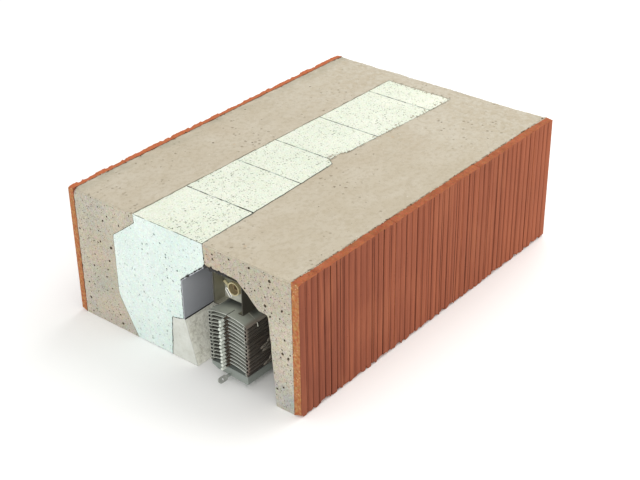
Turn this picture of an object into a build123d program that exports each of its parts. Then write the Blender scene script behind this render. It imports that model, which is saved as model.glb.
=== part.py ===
from build123d import *
import os

# Sizes in millimetres. x runs across the wall from the inner clay face, y along
# the lintel from its cut end, z up from the bearing face.

# Lintel as a whole
wall_thickness = 490
lintel_height = 238
lintel_length = 700
end_wall = 39

# Clay facings
inner_tile_thickness = 13
outer_tile_thickness = 15
tiles_per_side = 3
tile_joint = 1
ribs_per_tile = 16
groove_mouth = 4.6
groove_floor = 2.6
groove_depth = 2.2

# Concrete inner beam, a waisted section
beam_head_width = 140
beam_waist_width = 86
beam_foot_width = 125
beam_head_edge = 16
beam_head_depth = 56
beam_foot_height = 70
beam_knee_radius = 45

# Concrete lip and apron over the blind pocket
lip_length = 172
lip_thickness = 38
haunch_run = 42
haunch_drop = 38
apron_top_thickness = 47
apron_foot_thickness = 36
apron_corner_radius = 6

# Foam core, its lower strip and the pocket lining
pocket_width = 177
chamfer_drop = 45
block_parts = [120, 120, 97, 118, 144, 62]
block_joint = 0.5
strip_height = 82
strip_inner_height = 75
strip_top_width = 28
strip_foot_width = 56
strip_foot_overhang = 22
lining_thickness = 2

# Headrail, an upside-down channel, and its clips
blind_from_outer_face = 146
headrail_width = 60
headrail_height = 58
headrail_sheet = 1.5
headrail_lip = 8
headrail_bend = 4
headrail_setback = 4
headrail_drop = 6
clip_plate_width = 46
clip_plate_thickness = 2.5
clip_foot_width = 26
clip_length = 40
station_inset = 75

# Bearings, tilt shaft and ladder drums inside the headrail
bearing_inset = 24
bearing_plate_thickness = 2
bearing_play = 0.2
bush_flange_diameter = 25
bush_flange_thickness = 2
bush_collar_diameter = 23
bush_collar_bore = 19
bush_collar_length = 9
bush_hub_diameter = 22
bush_sides = 24
shaft_width = 12
shaft_play = 0.3
shaft_below_headrail_top = 28
slot_length = 14
slot_width = 4
slot_angle = -55
slot_across = 20.5
slot_below_shaft = 19
drum_diameter = 28
drum_rim_diameter = 34
drum_rim_thickness = 2
drum_length = 16
drum_sides = 20

# Slats and their guide pins
slat_count = 14
slat_pitch = 6.75
slat_bead_spacing = 74
slat_bead_diameter = 6.3
slat_bead_bore = 4.3
slat_rise = 9
slat_sheet = 0.9
bead_sides = 10
bore_sides = 6
tape_slot_length = 16
tape_slot_width = 5
pack_gap = 8
pin_reach = 18
pin_grip = 19
pin_diameter = 3.8
pin_head_diameter = 5.2
pin_head_length = 7
pin_play = 0.1
pin_slit = 1.2
pin_sides = 6

# Bottom rail, its end caps and guide eyelets
rail_width = 76
rail_height = 15
rail_crown = 2
rail_nose_height = 5
rail_nose_radius = 6
rail_edge_radius = 2
rail_seat_gap = 0.2
cap_thickness = 2.5
eyelet_reach = 26
eyelet_length = 18
eyelet_width = 10
eyelet_thickness = 2.5
eyelet_hole = 4.5
eyelet_tilt = 45
eyelet_neck_diameter = 5
eyelet_neck_sides = 8
eyelet_wall_clearance = 5

# Ladder cords
cord_diameter = 2.4
cord_sides = 6
cord_play = 0.3
cord_bend_radius = 5
cord_shoulder_rise = 4
cord_throat_drop = 3

# Places worked out from the sizes above
core_length = lintel_length - end_wall
concrete_inner = inner_tile_thickness
concrete_outer = wall_thickness - outer_tile_thickness
waist_x = concrete_inner + beam_waist_width
head_x = concrete_inner + beam_head_width
foot_x = concrete_inner + beam_foot_width
lip_x = concrete_outer - lip_length
ceiling_z = lintel_height - lip_thickness
apron_x = concrete_outer - apron_top_thickness
pocket_x = apron_x - pocket_width
core_wall_x = pocket_x - lining_thickness
lining_foot_z = strip_height - lining_thickness * (strip_height - strip_inner_height) / strip_top_width
blind_x = wall_thickness - blind_from_outer_face
blind_length = core_length - eyelet_reach - eyelet_wall_clearance
headrail_top = ceiling_z - headrail_drop
headrail_bottom = headrail_top - headrail_height
shaft_z = headrail_top - shaft_below_headrail_top
top_bead_z = headrail_bottom - pack_gap - slat_rise - slat_sheet / 2
low_bead_z = top_bead_z - (slat_count - 1) * slat_pitch
bead_radius = slat_bead_diameter / 2
rail_top = low_bead_z - bead_radius - rail_seat_gap
rail_bottom = rail_top - rail_height
stations = [station_inset, blind_length - station_inset]

# The stored part stands on its underside with its box centred on the origin
to_frame = Pos(-wall_thickness / 2, -(lintel_length - eyelet_reach) / 2, 0)


def outline(points, rounds=()):
    """A closed cross-section; rounds holds (point number, radius) pairs."""
    face = make_face(Polyline(*points, close=True))
    for number, radius in rounds:
        corner = face.vertices().sort_by_distance(points[number])[0]
        face = fillet(corner, radius)
    return face


def run_along(section, start, end):
    """A cross-section drawn in x and z, run along the lintel from start to end."""
    return Pos(0, start, 0) * extrude(Plane.XZ * section, amount=end - start, dir=(0, 1, 0))


def beam_section():
    points = [
        (concrete_inner, 0),
        (foot_x, 0),
        (waist_x, beam_foot_height),
        (waist_x, lintel_height - beam_head_depth),
        (head_x, lintel_height - beam_head_edge),
        (head_x, lintel_height),
        (concrete_inner, lintel_height),
    ]
    return outline(points, [(2, beam_knee_radius)])


def apron_section():
    haunch_z = ceiling_z - haunch_drop
    points = [
        (concrete_outer, 0),
        (concrete_outer, lintel_height),
        (lip_x, lintel_height),
        (lip_x, ceiling_z),
        (apron_x - haunch_run - apron_corner_radius * 3, ceiling_z),
        (apron_x - apron_corner_radius * 3, haunch_z),
        (apron_x, haunch_z),
        (concrete_outer - apron_foot_thickness, 0),
    ]
    return outline(points, [(6, apron_corner_radius)])


def concrete_body():
    beam = run_along(beam_section(), 0, core_length)
    apron = run_along(apron_section(), 0, core_length)
    wall_width = concrete_outer - concrete_inner
    wall = Box(wall_width, end_wall, lintel_height, align=(Align.MIN, Align.MIN, Align.MIN))
    return beam + apron + Pos(concrete_inner, core_length, 0) * wall


def facing_tile(number, thickness, face_x, outward):
    """One clay tile with upright grooves; outward is +1 or -1 along x."""
    tile_pitch = (lintel_length + tile_joint) / tiles_per_side
    tile_length = tile_pitch - tile_joint
    start = number * tile_pitch
    tile = Box(thickness, tile_length, lintel_height, align=(Align.MIN, Align.MIN, Align.MIN))
    tile = Pos(min(face_x, face_x - outward * thickness), start, 0) * tile
    floor_x = face_x - outward * groove_depth
    for rib in range(1, ribs_per_tile):
        middle = start + rib * tile_length / ribs_per_tile
        groove = make_face(
            Polyline(
                (face_x, middle - groove_mouth / 2),
                (floor_x, middle - groove_floor / 2),
                (floor_x, middle + groove_floor / 2),
                (face_x, middle + groove_mouth / 2),
                close=True,
            )
        )
        tile -= extrude(groove, amount=lintel_height, dir=(0, 0, 1))
    return tile


def strip_corners():
    """Lower foam strip: inner foot, inner top, outer top and outer foot."""
    foot_end = pocket_x + strip_foot_overhang
    return [
        (foot_end - strip_foot_width, 0),
        (pocket_x - strip_top_width, strip_inner_height),
        (pocket_x, strip_height),
        (foot_end, 0),
    ]


def insulation_section():
    inner_foot, inner_top = strip_corners()[:2]
    points = [
        (foot_x, 0),
        (waist_x, beam_foot_height),
        (waist_x, lintel_height - beam_head_depth),
        (head_x, lintel_height - beam_head_edge),
        (head_x, lintel_height),
        (lip_x, lintel_height),
        (lip_x, ceiling_z),
        (core_wall_x, ceiling_z - chamfer_drop),
        (core_wall_x, lining_foot_z),
        inner_top,
        inner_foot,
    ]
    return outline(points, [(1, beam_knee_radius)])


def insulation_block(start, end):
    return run_along(insulation_section(), start, end)


def insulation_ends():
    """Start and end of each foam block, with the core's length shared out in parts."""
    spans = []
    start = 0
    for part in block_parts[:-1]:
        end = start + core_length * part / sum(block_parts)
        spans.append((start, end - block_joint))
        start = end
    return spans + [(start, core_length)]


def lower_insulation_strip():
    return run_along(outline(strip_corners()), 0, core_length)


def pocket_lining():
    """A folded sheet on the upright core wall and on the chamfer above it."""
    chamfer = Vector(lip_x - core_wall_x, chamfer_drop)
    across = lining_thickness * chamfer.length / chamfer_drop
    fold = lining_thickness * (chamfer.length - chamfer.Y) / chamfer.X
    points = [
        (core_wall_x, lining_foot_z),
        (core_wall_x, ceiling_z - chamfer_drop),
        (lip_x, ceiling_z),
        (lip_x + across, ceiling_z),
        (pocket_x, ceiling_z - chamfer_drop - fold),
        (pocket_x, strip_height),
    ]
    return run_along(outline(points), 0, core_length)


def channel_points(half, low, high):
    """Corners of an upright rectangle about the blind's middle, from low left round."""
    return [(-half, low), (-half, high), (half, high), (half, low)]


def headrail():
    half = headrail_width / 2
    inner_half = half - headrail_sheet
    inner_bend = headrail_bend - headrail_sheet
    lip_top = headrail_bottom + headrail_sheet
    shell_points = channel_points(half, headrail_bottom, headrail_top)
    shell = outline(shell_points, [(1, headrail_bend), (2, headrail_bend)])
    hollow_points = channel_points(inner_half, lip_top, headrail_top - headrail_sheet)
    hollow = outline(hollow_points, [(1, inner_bend), (2, inner_bend)])
    throat = outline(channel_points(inner_half - headrail_lip, headrail_bottom, lip_top))
    section = Pos(blind_x, 0) * (shell - hollow - throat)
    return run_along(section, headrail_setback, core_length - headrail_setback)


def headrail_clip(middle):
    """A plate on the pocket ceiling with a foot down to the headrail."""
    plate_low = ceiling_z - clip_plate_thickness
    plate = outline(channel_points(clip_plate_width / 2, plate_low, ceiling_z))
    foot = outline(channel_points(clip_foot_width / 2, headrail_top, plate_low))
    section = Pos(blind_x, 0) * (plate + foot)
    return run_along(section, middle - clip_length / 2, middle + clip_length / 2)


def bearing_plate(start):
    """A plate on the headrail lips with the bush hole and a slanted slot."""
    plate_half = headrail_width / 2 - headrail_sheet - bearing_play
    plate_low = headrail_bottom + headrail_sheet
    plate_high = headrail_top - headrail_sheet - bearing_play
    corner = headrail_bend - headrail_sheet
    plate = outline(channel_points(plate_half, plate_low, plate_high), [(1, corner), (2, corner)])
    plate -= Pos(0, shaft_z) * RegularPolygon(bush_hub_diameter / 2 + bearing_play, bush_sides)
    slot = Rot(0, 0, slot_angle) * SlotOverall(slot_length, slot_width)
    plate -= Pos(-slot_across, shaft_z - slot_below_shaft) * slot
    return run_along(Pos(blind_x, 0) * plate, start, start + bearing_plate_thickness)


def bearing_bush(start, outward):
    """A bush in the plate with a flange and an open collar on its outward side."""
    hole = shaft_width + 2 * shaft_play
    at_shaft = Pos(blind_x, shaft_z)
    hub = RegularPolygon(bush_hub_diameter / 2, bush_sides) - Rectangle(hole, hole)
    flange = RegularPolygon(bush_flange_diameter / 2, bush_sides) - Rectangle(hole, hole)
    bore = RegularPolygon(bush_collar_bore / 2, bush_sides)
    collar = RegularPolygon(bush_collar_diameter / 2, bush_sides) - bore
    plate_face = start if outward < 0 else start + bearing_plate_thickness
    flange_face = plate_face + outward * bush_flange_thickness
    collar_face = flange_face + outward * bush_collar_length
    bush = run_along(at_shaft * hub, start, start + bearing_plate_thickness)
    bush += run_along(at_shaft * flange, min(plate_face, flange_face), max(plate_face, flange_face))
    return bush + run_along(at_shaft * collar, min(flange_face, collar_face), max(flange_face, collar_face))


def tilt_shaft(start, end):
    return run_along(Pos(blind_x, shaft_z) * Rectangle(shaft_width, shaft_width), start, end)


def ladder_drum(middle):
    """A rimmed drum on the tilt shaft that carries one ladder."""
    hole = shaft_width + 2 * shaft_play
    core = RegularPolygon(drum_diameter / 2, drum_sides) - Rectangle(hole, hole)
    rim = RegularPolygon(drum_rim_diameter / 2, drum_sides) - Rectangle(hole, hole)
    start = middle - drum_length / 2
    end = middle + drum_length / 2
    at_shaft = Pos(blind_x, shaft_z)
    drum = run_along(at_shaft * core, start, end)
    drum += run_along(at_shaft * rim, start, start + drum_rim_thickness)
    return drum + run_along(at_shaft * rim, end - drum_rim_thickness, end)


def slat_section():
    """An arched sheet between two rolled edges, with the edge centres at z = 0."""
    half = slat_bead_spacing / 2
    low = bead_radius - slat_sheet
    upper = ThreePointArc((-half, bead_radius), (0, slat_rise + slat_sheet / 2), (half, bead_radius))
    lower = ThreePointArc((-half, low), (0, slat_rise - slat_sheet / 2), (half, low))
    sides = [Line(upper @ 0, lower @ 0), Line(upper @ 1, lower @ 1)]
    section = make_face(Curve() + [upper, lower] + sides)
    for side in (-half, half):
        section += Pos(side, 0) * RegularPolygon(bead_radius, bead_sides)
    for side in (-half, half):
        section -= Pos(side, 0) * RegularPolygon(slat_bead_bore / 2, bore_sides)
    return section


def slat(number):
    bead_z = low_bead_z + number * slat_pitch
    body = run_along(Pos(blind_x, bead_z) * slat_section(), 0, blind_length)
    slit = Box(pin_slit, 2 * pin_grip, 2 * slat_rise)
    crest = Pos(blind_x, 0, bead_z + slat_rise)
    body -= crest * slit
    body -= crest * Pos(0, blind_length, 0) * slit
    tape_slot = Box(tape_slot_length, tape_slot_width, 2 * slat_rise)
    for middle in stations:
        body -= crest * Pos(0, middle, 0) * tape_slot
    return body


def guide_pin(number, end_y, outward):
    """A headed pin under the crest of a slat; outward is its y direction."""
    pin_z = low_bead_z + number * slat_pitch + slat_rise - slat_sheet / 2 - pin_play - pin_head_diameter / 2
    at_crest = Pos(blind_x, pin_z)
    shank = at_crest * RegularPolygon(pin_diameter / 2, pin_sides, major_radius=False)
    head = at_crest * RegularPolygon(pin_head_diameter / 2, pin_sides, major_radius=False)
    stops = [-pin_grip, 0, pin_reach - pin_head_length, pin_reach]
    pieces = []
    for section, first, second in zip((head, shank, head), stops, stops[1:]):
        ends = sorted([end_y + outward * first, end_y + outward * second])
        pieces.append(run_along(section, *ends))
    return pieces[0] + pieces[1] + pieces[2]


def guide_pins(end_y, outward):
    return Compound([guide_pin(number, end_y, outward) for number in range(slat_count)])


def rail_section():
    half = rail_width / 2
    crown = ThreePointArc((-half, rail_top), (0, rail_top + rail_crown), (half, rail_top))
    nose = (-half + 2 * rail_nose_radius, rail_bottom + rail_nose_height)
    edge = (half, rail_bottom)
    under = Polyline(crown @ 0, (-half, rail_top - rail_nose_height), nose, edge, crown @ 1)
    section = make_face(Curve() + [crown, under])
    section = fillet(section.vertices().sort_by_distance(nose)[0], rail_nose_radius)
    section = fillet(section.vertices().sort_by_distance(edge)[0], rail_edge_radius)
    return Pos(blind_x, 0) * section


def bottom_rail():
    return run_along(rail_section(), cap_thickness, blind_length - cap_thickness)


def rail_cap(end_y, outward):
    """An end cap of the rail with its tilted guide eyelet."""
    inner_y = end_y - outward * cap_thickness
    cap = run_along(rail_section(), min(end_y, inner_y), max(end_y, inner_y))
    eyelet_z = rail_bottom + rail_nose_height
    tip_y = end_y + outward * eyelet_reach
    plate = SlotOverall(eyelet_length, eyelet_width, rotation=90)
    hole = Circle(eyelet_hole / 2)
    plate = extrude(plate - hole, amount=eyelet_thickness / 2, both=True)
    plate = Pos(blind_x, tip_y - outward * eyelet_length / 2, eyelet_z) * Rot(0, eyelet_tilt, 0) * plate
    neck_length = eyelet_reach - eyelet_length + eyelet_width / 4
    neck = Pos(blind_x, eyelet_z) * RegularPolygon(eyelet_neck_diameter / 2, eyelet_neck_sides)
    neck_end = end_y + outward * neck_length
    return cap + plate + run_along(neck, min(end_y, neck_end), max(end_y, neck_end))


def ladder_cord(middle, side):
    """One strand from the rail edge, up past the slat edges and in to the drum."""
    strand = cord_diameter / 2 + cord_play
    rail_side = rail_width / 2
    pack_side = slat_bead_spacing / 2 + bead_radius + strand
    drum_side = drum_diameter / 2 + strand
    start_z = rail_top - rail_nose_height
    shoulder_z = top_bead_z + bead_radius + cord_shoulder_rise
    throat_z = headrail_bottom - cord_throat_drop
    points = [
        (blind_x + side * rail_side, middle, start_z),
        (blind_x + side * pack_side, middle, start_z),
        (blind_x + side * pack_side, middle, shoulder_z),
        (blind_x + side * drum_side, middle, throat_z),
        (blind_x + side * drum_side, middle, shaft_z),
    ]
    bend = pack_side - rail_side - cord_play
    path = FilletPolyline(*points, radius=[bend, cord_bend_radius, cord_bend_radius])
    ring = Plane(origin=points[0], z_dir=(side, 0, 0)) * RegularPolygon(cord_diameter / 2, cord_sides)
    return sweep(ring, path=path)


def lintel_pieces():
    """Every piece of the lintel by name, in the wall's own corner frame."""
    pieces = {"concrete_body": concrete_body()}
    for number in range(tiles_per_side):
        inner = facing_tile(number, inner_tile_thickness, 0, -1)
        outer = facing_tile(number, outer_tile_thickness, wall_thickness, 1)
        pieces[f"inner_facing_tile_{number + 1}"] = inner
        pieces[f"outer_facing_tile_{number + 1}"] = outer
    for number, (start, end) in enumerate(insulation_ends()):
        pieces[f"insulation_block_{number + 1}"] = insulation_block(start, end)
    pieces["lower_insulation_strip"] = lower_insulation_strip()
    pieces["pocket_lining"] = pocket_lining()
    pieces["headrail"] = headrail()
    near_plate = headrail_setback + bearing_inset
    far_plate = core_length - near_plate - bearing_plate_thickness
    pieces["bearing_plate_near"] = bearing_plate(near_plate)
    pieces["bearing_plate_far"] = bearing_plate(far_plate)
    pieces["bearing_bush_near"] = bearing_bush(near_plate, -1)
    pieces["bearing_bush_far"] = bearing_bush(far_plate, 1)
    pieces["tilt_shaft"] = tilt_shaft(near_plate, far_plate + bearing_plate_thickness)
    for number, middle in enumerate(stations):
        pieces[f"headrail_clip_{number + 1}"] = headrail_clip(middle)
        pieces[f"ladder_drum_{number + 1}"] = ladder_drum(middle)
        pieces[f"ladder_cord_{number + 1}_inner"] = ladder_cord(middle, -1)
        pieces[f"ladder_cord_{number + 1}_outer"] = ladder_cord(middle, 1)
    for number in range(slat_count):
        pieces[f"slat_{number + 1:02d}"] = slat(number)
    pieces["guide_pins_near"] = guide_pins(0, -1)
    pieces["guide_pins_far"] = guide_pins(blind_length, 1)
    pieces["bottom_rail"] = bottom_rail()
    pieces["rail_cap_near"] = rail_cap(0, -1)
    pieces["rail_cap_far"] = rail_cap(blind_length, 1)
    return pieces


os.makedirs("parts", exist_ok=True)
for name, piece in lintel_pieces().items():
    export_step(to_frame * piece, f"parts/{name}.step")
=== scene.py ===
import bmesh
import bpy
import math
import random
from mathutils import Matrix, Vector, geometry, kdtree, noise


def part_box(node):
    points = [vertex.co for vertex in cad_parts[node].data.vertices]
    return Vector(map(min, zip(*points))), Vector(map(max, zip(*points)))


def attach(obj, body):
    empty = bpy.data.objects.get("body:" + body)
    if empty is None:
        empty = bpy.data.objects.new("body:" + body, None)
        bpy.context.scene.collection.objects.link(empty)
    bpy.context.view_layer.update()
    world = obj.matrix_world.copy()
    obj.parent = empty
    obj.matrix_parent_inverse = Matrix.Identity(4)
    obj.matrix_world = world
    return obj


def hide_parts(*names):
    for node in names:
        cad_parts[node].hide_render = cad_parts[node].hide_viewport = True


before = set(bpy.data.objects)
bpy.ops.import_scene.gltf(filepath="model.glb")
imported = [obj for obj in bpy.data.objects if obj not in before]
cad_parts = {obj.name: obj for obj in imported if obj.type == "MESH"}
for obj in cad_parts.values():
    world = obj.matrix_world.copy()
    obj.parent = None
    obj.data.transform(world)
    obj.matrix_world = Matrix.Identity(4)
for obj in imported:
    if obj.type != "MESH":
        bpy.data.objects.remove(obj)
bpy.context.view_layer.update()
scene = bpy.context.scene

MM = 0.001
SAME_PLACE = 0.02 * MM
WELD = 0.004 * MM
SHARP = math.radians(38)

# How much of a normal points along an axis where a face looks that way
SQUARE_ON = 0.7
FACING = 0.6
SLANTED = 0.3
TURNED = 0.1

# Places of the lintel's main faces, read from the frame
inner_x, cut_y, foot_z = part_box("concrete_body")[0]
outer_x, back_y, top_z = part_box("concrete_body")[1]
core_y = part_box("lower_insulation_strip")[1].y
blind_x = sum(corner.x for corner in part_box("bottom_rail")) / 2
lip_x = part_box("insulation_block_1")[1].x
first_block_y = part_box("insulation_block_1")[1].y
ceiling_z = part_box("pocket_lining")[1].z
strip_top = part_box("lower_insulation_strip")[1].z
headrail_low, headrail_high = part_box("headrail")
shaft_z = sum(corner.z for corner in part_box("tilt_shaft")) / 2

# The stack of slats, from the frame
slat_count = sum(name.startswith("slat_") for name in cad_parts)
slat_low, slat_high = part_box("slat_01")
slat_middle_y = (slat_low.y + slat_high.y) / 2
slat_half_length = (slat_high.y - slat_low.y) / 2
slat_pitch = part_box("slat_02")[0].z - slat_low.z
pack_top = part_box(f"slat_{slat_count:02d}")[1].z

# Share of the light that a white paint gives back
paint_depth = 0.86

# Camera of the photograph
image_width = 640
focal_pixels = 1314
sensor_width = 36
camera_place = Vector((1.273, -1.529, 1.234))
camera_heading = math.radians(39.65)
camera_drop = math.radians(30.35)
camera_roll = math.radians(-0.83)

# Studio
floor_reach = 8
surround_strength = 0.8
lamp_colour = (1.0, 0.985, 0.96)
lamp_aim = Vector((0, 0, 0.1))

# Concrete relief
rim_step = 4 * MM
hidden_step = 9 * MM
length_step = 5 * MM
cut_face_step = 2.6 * MM
beam_head_width = 140 * MM
edge_reach = 40 * MM
back_ledge = 20 * MM
ledge_wander = 6 * MM
ledge_slope = 5 * MM
arris_at_clay = 11 * MM
arris_at_foam = 2.5 * MM
arris_rows = (0, 1.2, 2.6, 4.4, 7, 11)
pores_per_side = 105
pore_sides = 9
pore_spacing = 4.4 * MM
pore_gap = 2.6 * MM
pore_margin = 1.5 * MM

# Foam relief
bead_size = 4.2 * MM
bead_groove = 0.28 * MM
foam_step = 1.7 * MM
foam_hidden_step = 14 * MM
cut_block_step = 1.6 * foam_step
pocket_reach = 95 * MM
strip_ring_step = 3 * MM
strip_cut_step = 2.4 * MM
foam_joint_wear = 0.6 * MM
foam_swell = 0.2 * MM
foam_chip = 0.8 * MM
lost_bead_depth = 0.7 * MM

# Clay ribs
rib_count = 16
groove_depth = 2.2 * MM
groove_floor = 1.2 * MM
groove_mouth = 3.6 * MM
rib_crown = 0.3 * MM
rib_tilt = 0.3 * MM
rib_sink = 0.35 * MM
rib_wander = 0.45 * MM
score_depth = 0.9 * MM
rib_shoulder = 7 * MM
rib_drag = 0.12 * MM
rib_dent = 0.25 * MM
clay_smear = 2.4 * MM
clay_face_step = 2.2 * MM
joint_shares = (0.2, 0.4, 0.6, 0.8)
joint_roughness = 0.3 * MM
top_roughness = 0.5 * MM
foot_chip_spacing = 11 * MM
foot_chip_depth = 7.5 * MM
top_chip_spacing = 12 * MM
inner_top_chip_depth = 3.2 * MM
outer_top_chip_depth = 1.6 * MM

# Loose crumbs on top, adhesive, and black beads of painted shadow in gaps
lip_crumb_count = 150
end_crumb_count = 60
grit_per_seam = 110
grit_spread = 1.3 * MM
crumb_sink = 0.2 * MM
grit_sink = 0.3 * MM
glue_and_shadow_step = 3.2 * MM
glue_and_shadow_depth = 0.3 * MM
lining_foot_step = 9 * MM

# Slats, pins and ladder cords
slat_bead_radius = 3.15 * MM
slat_bore_radius = 2.3 * MM
first_bead_z = slat_low.z + slat_bead_radius
slat_sheet = 0.9 * MM
curl_points = 15
curl_start_degrees = 400
curl_sweep_degrees = 310
slit_width = 2 * MM
slit_length = 19 * MM
tape_slot_width = 16 * MM
tape_slot_length = 5 * MM
pin_sides = 14
pin_radius = 1.7 * MM
pin_head_radius = 2.6 * MM
pin_head_length = 9 * MM
slot_rim_radius = 1.2 * MM
arm_radius = 2.4 * MM
cord_radius = 1.1 * MM
clip_radius = 0.9 * MM
clip_inset = 24 * MM

# How far the near outer ladder strand hangs towards the cut end, in mm, by the slat's number from below
slack_rungs = {0: 34, 1: 58, 2: 40, 4: 30, 5: 60, 6: 64, 7: 44}
slack_bulge = 5.5 * MM


def paint(colour):
    """The paint for a colour of 0 to 255 as it looks under the studio lights; a ready one stays."""
    if isinstance(colour, bpy.types.NodeSocket) or len(colour) == 4:
        return colour
    light = []
    for value in colour:
        share = value / 255
        light.append(share / 12.92 if share <= 0.04045 else ((share + 0.055) / 1.055) ** 2.4)
    return (*[paint_depth * value for value in light], 1.0)


def feed(tree, socket, value):
    """Links an output to a socket, or sets the socket to a plain value."""
    if isinstance(value, bpy.types.NodeSocket):
        tree.links.new(value, socket)
    else:
        socket.default_value = value


def add_node(tree, kind, inputs, **settings):
    """A new node of a tree with its settings and what feeds it."""
    node = tree.nodes.new(kind)
    for key, value in settings.items():
        setattr(node, key, value)
    for key, value in inputs.items():
        feed(tree, node.inputs[key], value)
    return node


class Finish:
    """A node material in the making; most methods add nodes and give their output."""

    def __init__(self, name, roughness, metallic=0.0, specular=0.5):
        self.material = bpy.data.materials.new(name)
        self.material.use_nodes = True
        self.tree = self.material.node_tree
        self.shader = self.tree.nodes["Principled BSDF"]
        self.shader.inputs["Roughness"].default_value = roughness
        self.shader.inputs["Metallic"].default_value = metallic
        self.shader.inputs["Specular IOR Level"].default_value = specular
        self.place = self.tree.nodes.new("ShaderNodeTexCoord").outputs["Object"]
        self.colour = None

    def add(self, kind, inputs, **settings):
        return add_node(self.tree, kind, inputs, **settings)

    def stretched(self, stretch, shift=(0, 0, 0)):
        inputs = {"Vector": self.place, "Scale": stretch, "Location": shift}
        return self.add("ShaderNodeMapping", inputs).outputs[0]

    def cloud(self, scale, detail, stretch=(1, 1, 1), shift=(0, 0, 0), warp=0.0):
        """Soft noise, 0 to 1; stretch below 1 draws it out along that axis."""
        place = self.stretched(stretch, shift)
        inputs = {"Vector": place, "Scale": scale, "Detail": detail, "Distortion": warp}
        return self.add("ShaderNodeTexNoise", inputs).outputs[0]

    def cells(self, scale, output="Distance", feature="F1", stretch=(1, 1, 1)):
        inputs = {"Vector": self.stretched(stretch), "Scale": scale}
        return self.add("ShaderNodeTexVoronoi", inputs, feature=feature).outputs[output]

    def span(self, value, low, high, start=0.0, end=1.0):
        """Value from low to high becomes start to end, and stays there beyond."""
        inputs = {"Value": value, "From Min": low, "From Max": high, "To Min": start, "To Max": end}
        return self.add("ShaderNodeMapRange", inputs).outputs[0]

    def maths(self, first, second, operation="ADD"):
        return self.add("ShaderNodeMath", {0: first, 1: second}, operation=operation).outputs[0]

    def both(self, first, second):
        return self.maths(first, second, "MULTIPLY")

    def axis(self, name):
        return self.add("ShaderNodeSeparateXYZ", {"Vector": self.place}).outputs[name]

    def attribute(self, name):
        return self.add("ShaderNodeAttribute", {}, attribute_name=name).outputs["Fac"]

    def patches(self, scale, detail, low=0.35, high=0.68, most=1.0, least=0.0, **form):
        """A cloud as patches: least where it is below low, most where it is above high."""
        return self.span(self.cloud(scale, detail, **form), low, high, least, most)

    def ramp(self, axis, start, end, first=0.0, last=1.0):
        """From first to last between two places along an axis."""
        return self.span(self.axis(axis), start, end, first, last)

    def beside(self, axis, *places):
        """Distance along an axis to the nearest of some places, in metres."""
        nearest = 1.0
        for place in places:
            offset = self.maths(self.maths(self.axis(axis), place, "SUBTRACT"), 0, "ABSOLUTE")
            nearest = self.maths(offset, nearest, "MINIMUM")
        return nearest

    def band(self, axis, places, inside, outside, most=1.0):
        """Most up to a distance from some places along an axis, fading to nothing further out."""
        return self.span(self.beside(axis, *places), inside, outside, most, 0)

    def specks(self, spacing, radius, share, seed=0.0):
        """Round spots of a radius, in a share of the cells of a spacing, 1 inside."""
        place = self.stretched((1, 1, 1), (seed, seed * 0.7, seed * 1.3))
        cell = self.add("ShaderNodeTexVoronoi", {"Vector": place, "Scale": 1 / spacing}).outputs
        chance = self.add("ShaderNodeSeparateColor", {"Color": cell["Color"]}).outputs
        reach = self.both(self.span(chance[1], 0, 1, 0.5, 1.2), radius / spacing)
        ratio = self.maths(cell["Distance"], reach, "DIVIDE")
        return self.both(self.span(ratio, 0.7, 1.1, 1, 0), self.maths(chance[0], share, "LESS_THAN"))

    def mix(self, factor, first, second, blend="MIX"):
        inputs = {0: factor, 6: paint(first), 7: paint(second)}
        return self.add("ShaderNodeMix", inputs, data_type="RGBA", blend_type=blend).outputs[2]

    def base(self, factor, first, second):
        """Starts the colour with two shades."""
        self.colour = self.mix(factor, first, second)

    def tint(self, mask, colour, strength=1.0, blend="MIX"):
        """Lays a colour over the ones before, where the mask is."""
        factor = mask if strength == 1.0 else self.both(mask, strength)
        self.colour = self.mix(factor, self.colour, colour, blend)

    def roughened(self, value):
        feed(self.tree, self.shader.inputs["Roughness"], value)

    def raised(self, height, distance, strength):
        """Bump of a height from 0 to 1, in metres, on top of what was raised before."""
        inputs = {"Height": height, "Distance": distance, "Strength": strength}
        before = self.shader.inputs["Normal"].links
        if before:
            inputs["Normal"] = before[0].from_socket
        feed(self.tree, self.shader.inputs["Normal"], self.add("ShaderNodeBump", inputs).outputs[0])

    def done(self):
        feed(self.tree, self.shader.inputs["Base Color"], self.colour)
        return self.material


def two_tone(name, shades, patch, grain, relief, roughness, **gloss):
    """A plain finish: patches of two shades under a fine grain."""
    finish = Finish(name, roughness, **gloss)
    finish.base(finish.patches(*patch), *shades)
    finish.raised(finish.cloud(*grain), *relief)
    return finish.done()


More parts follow.
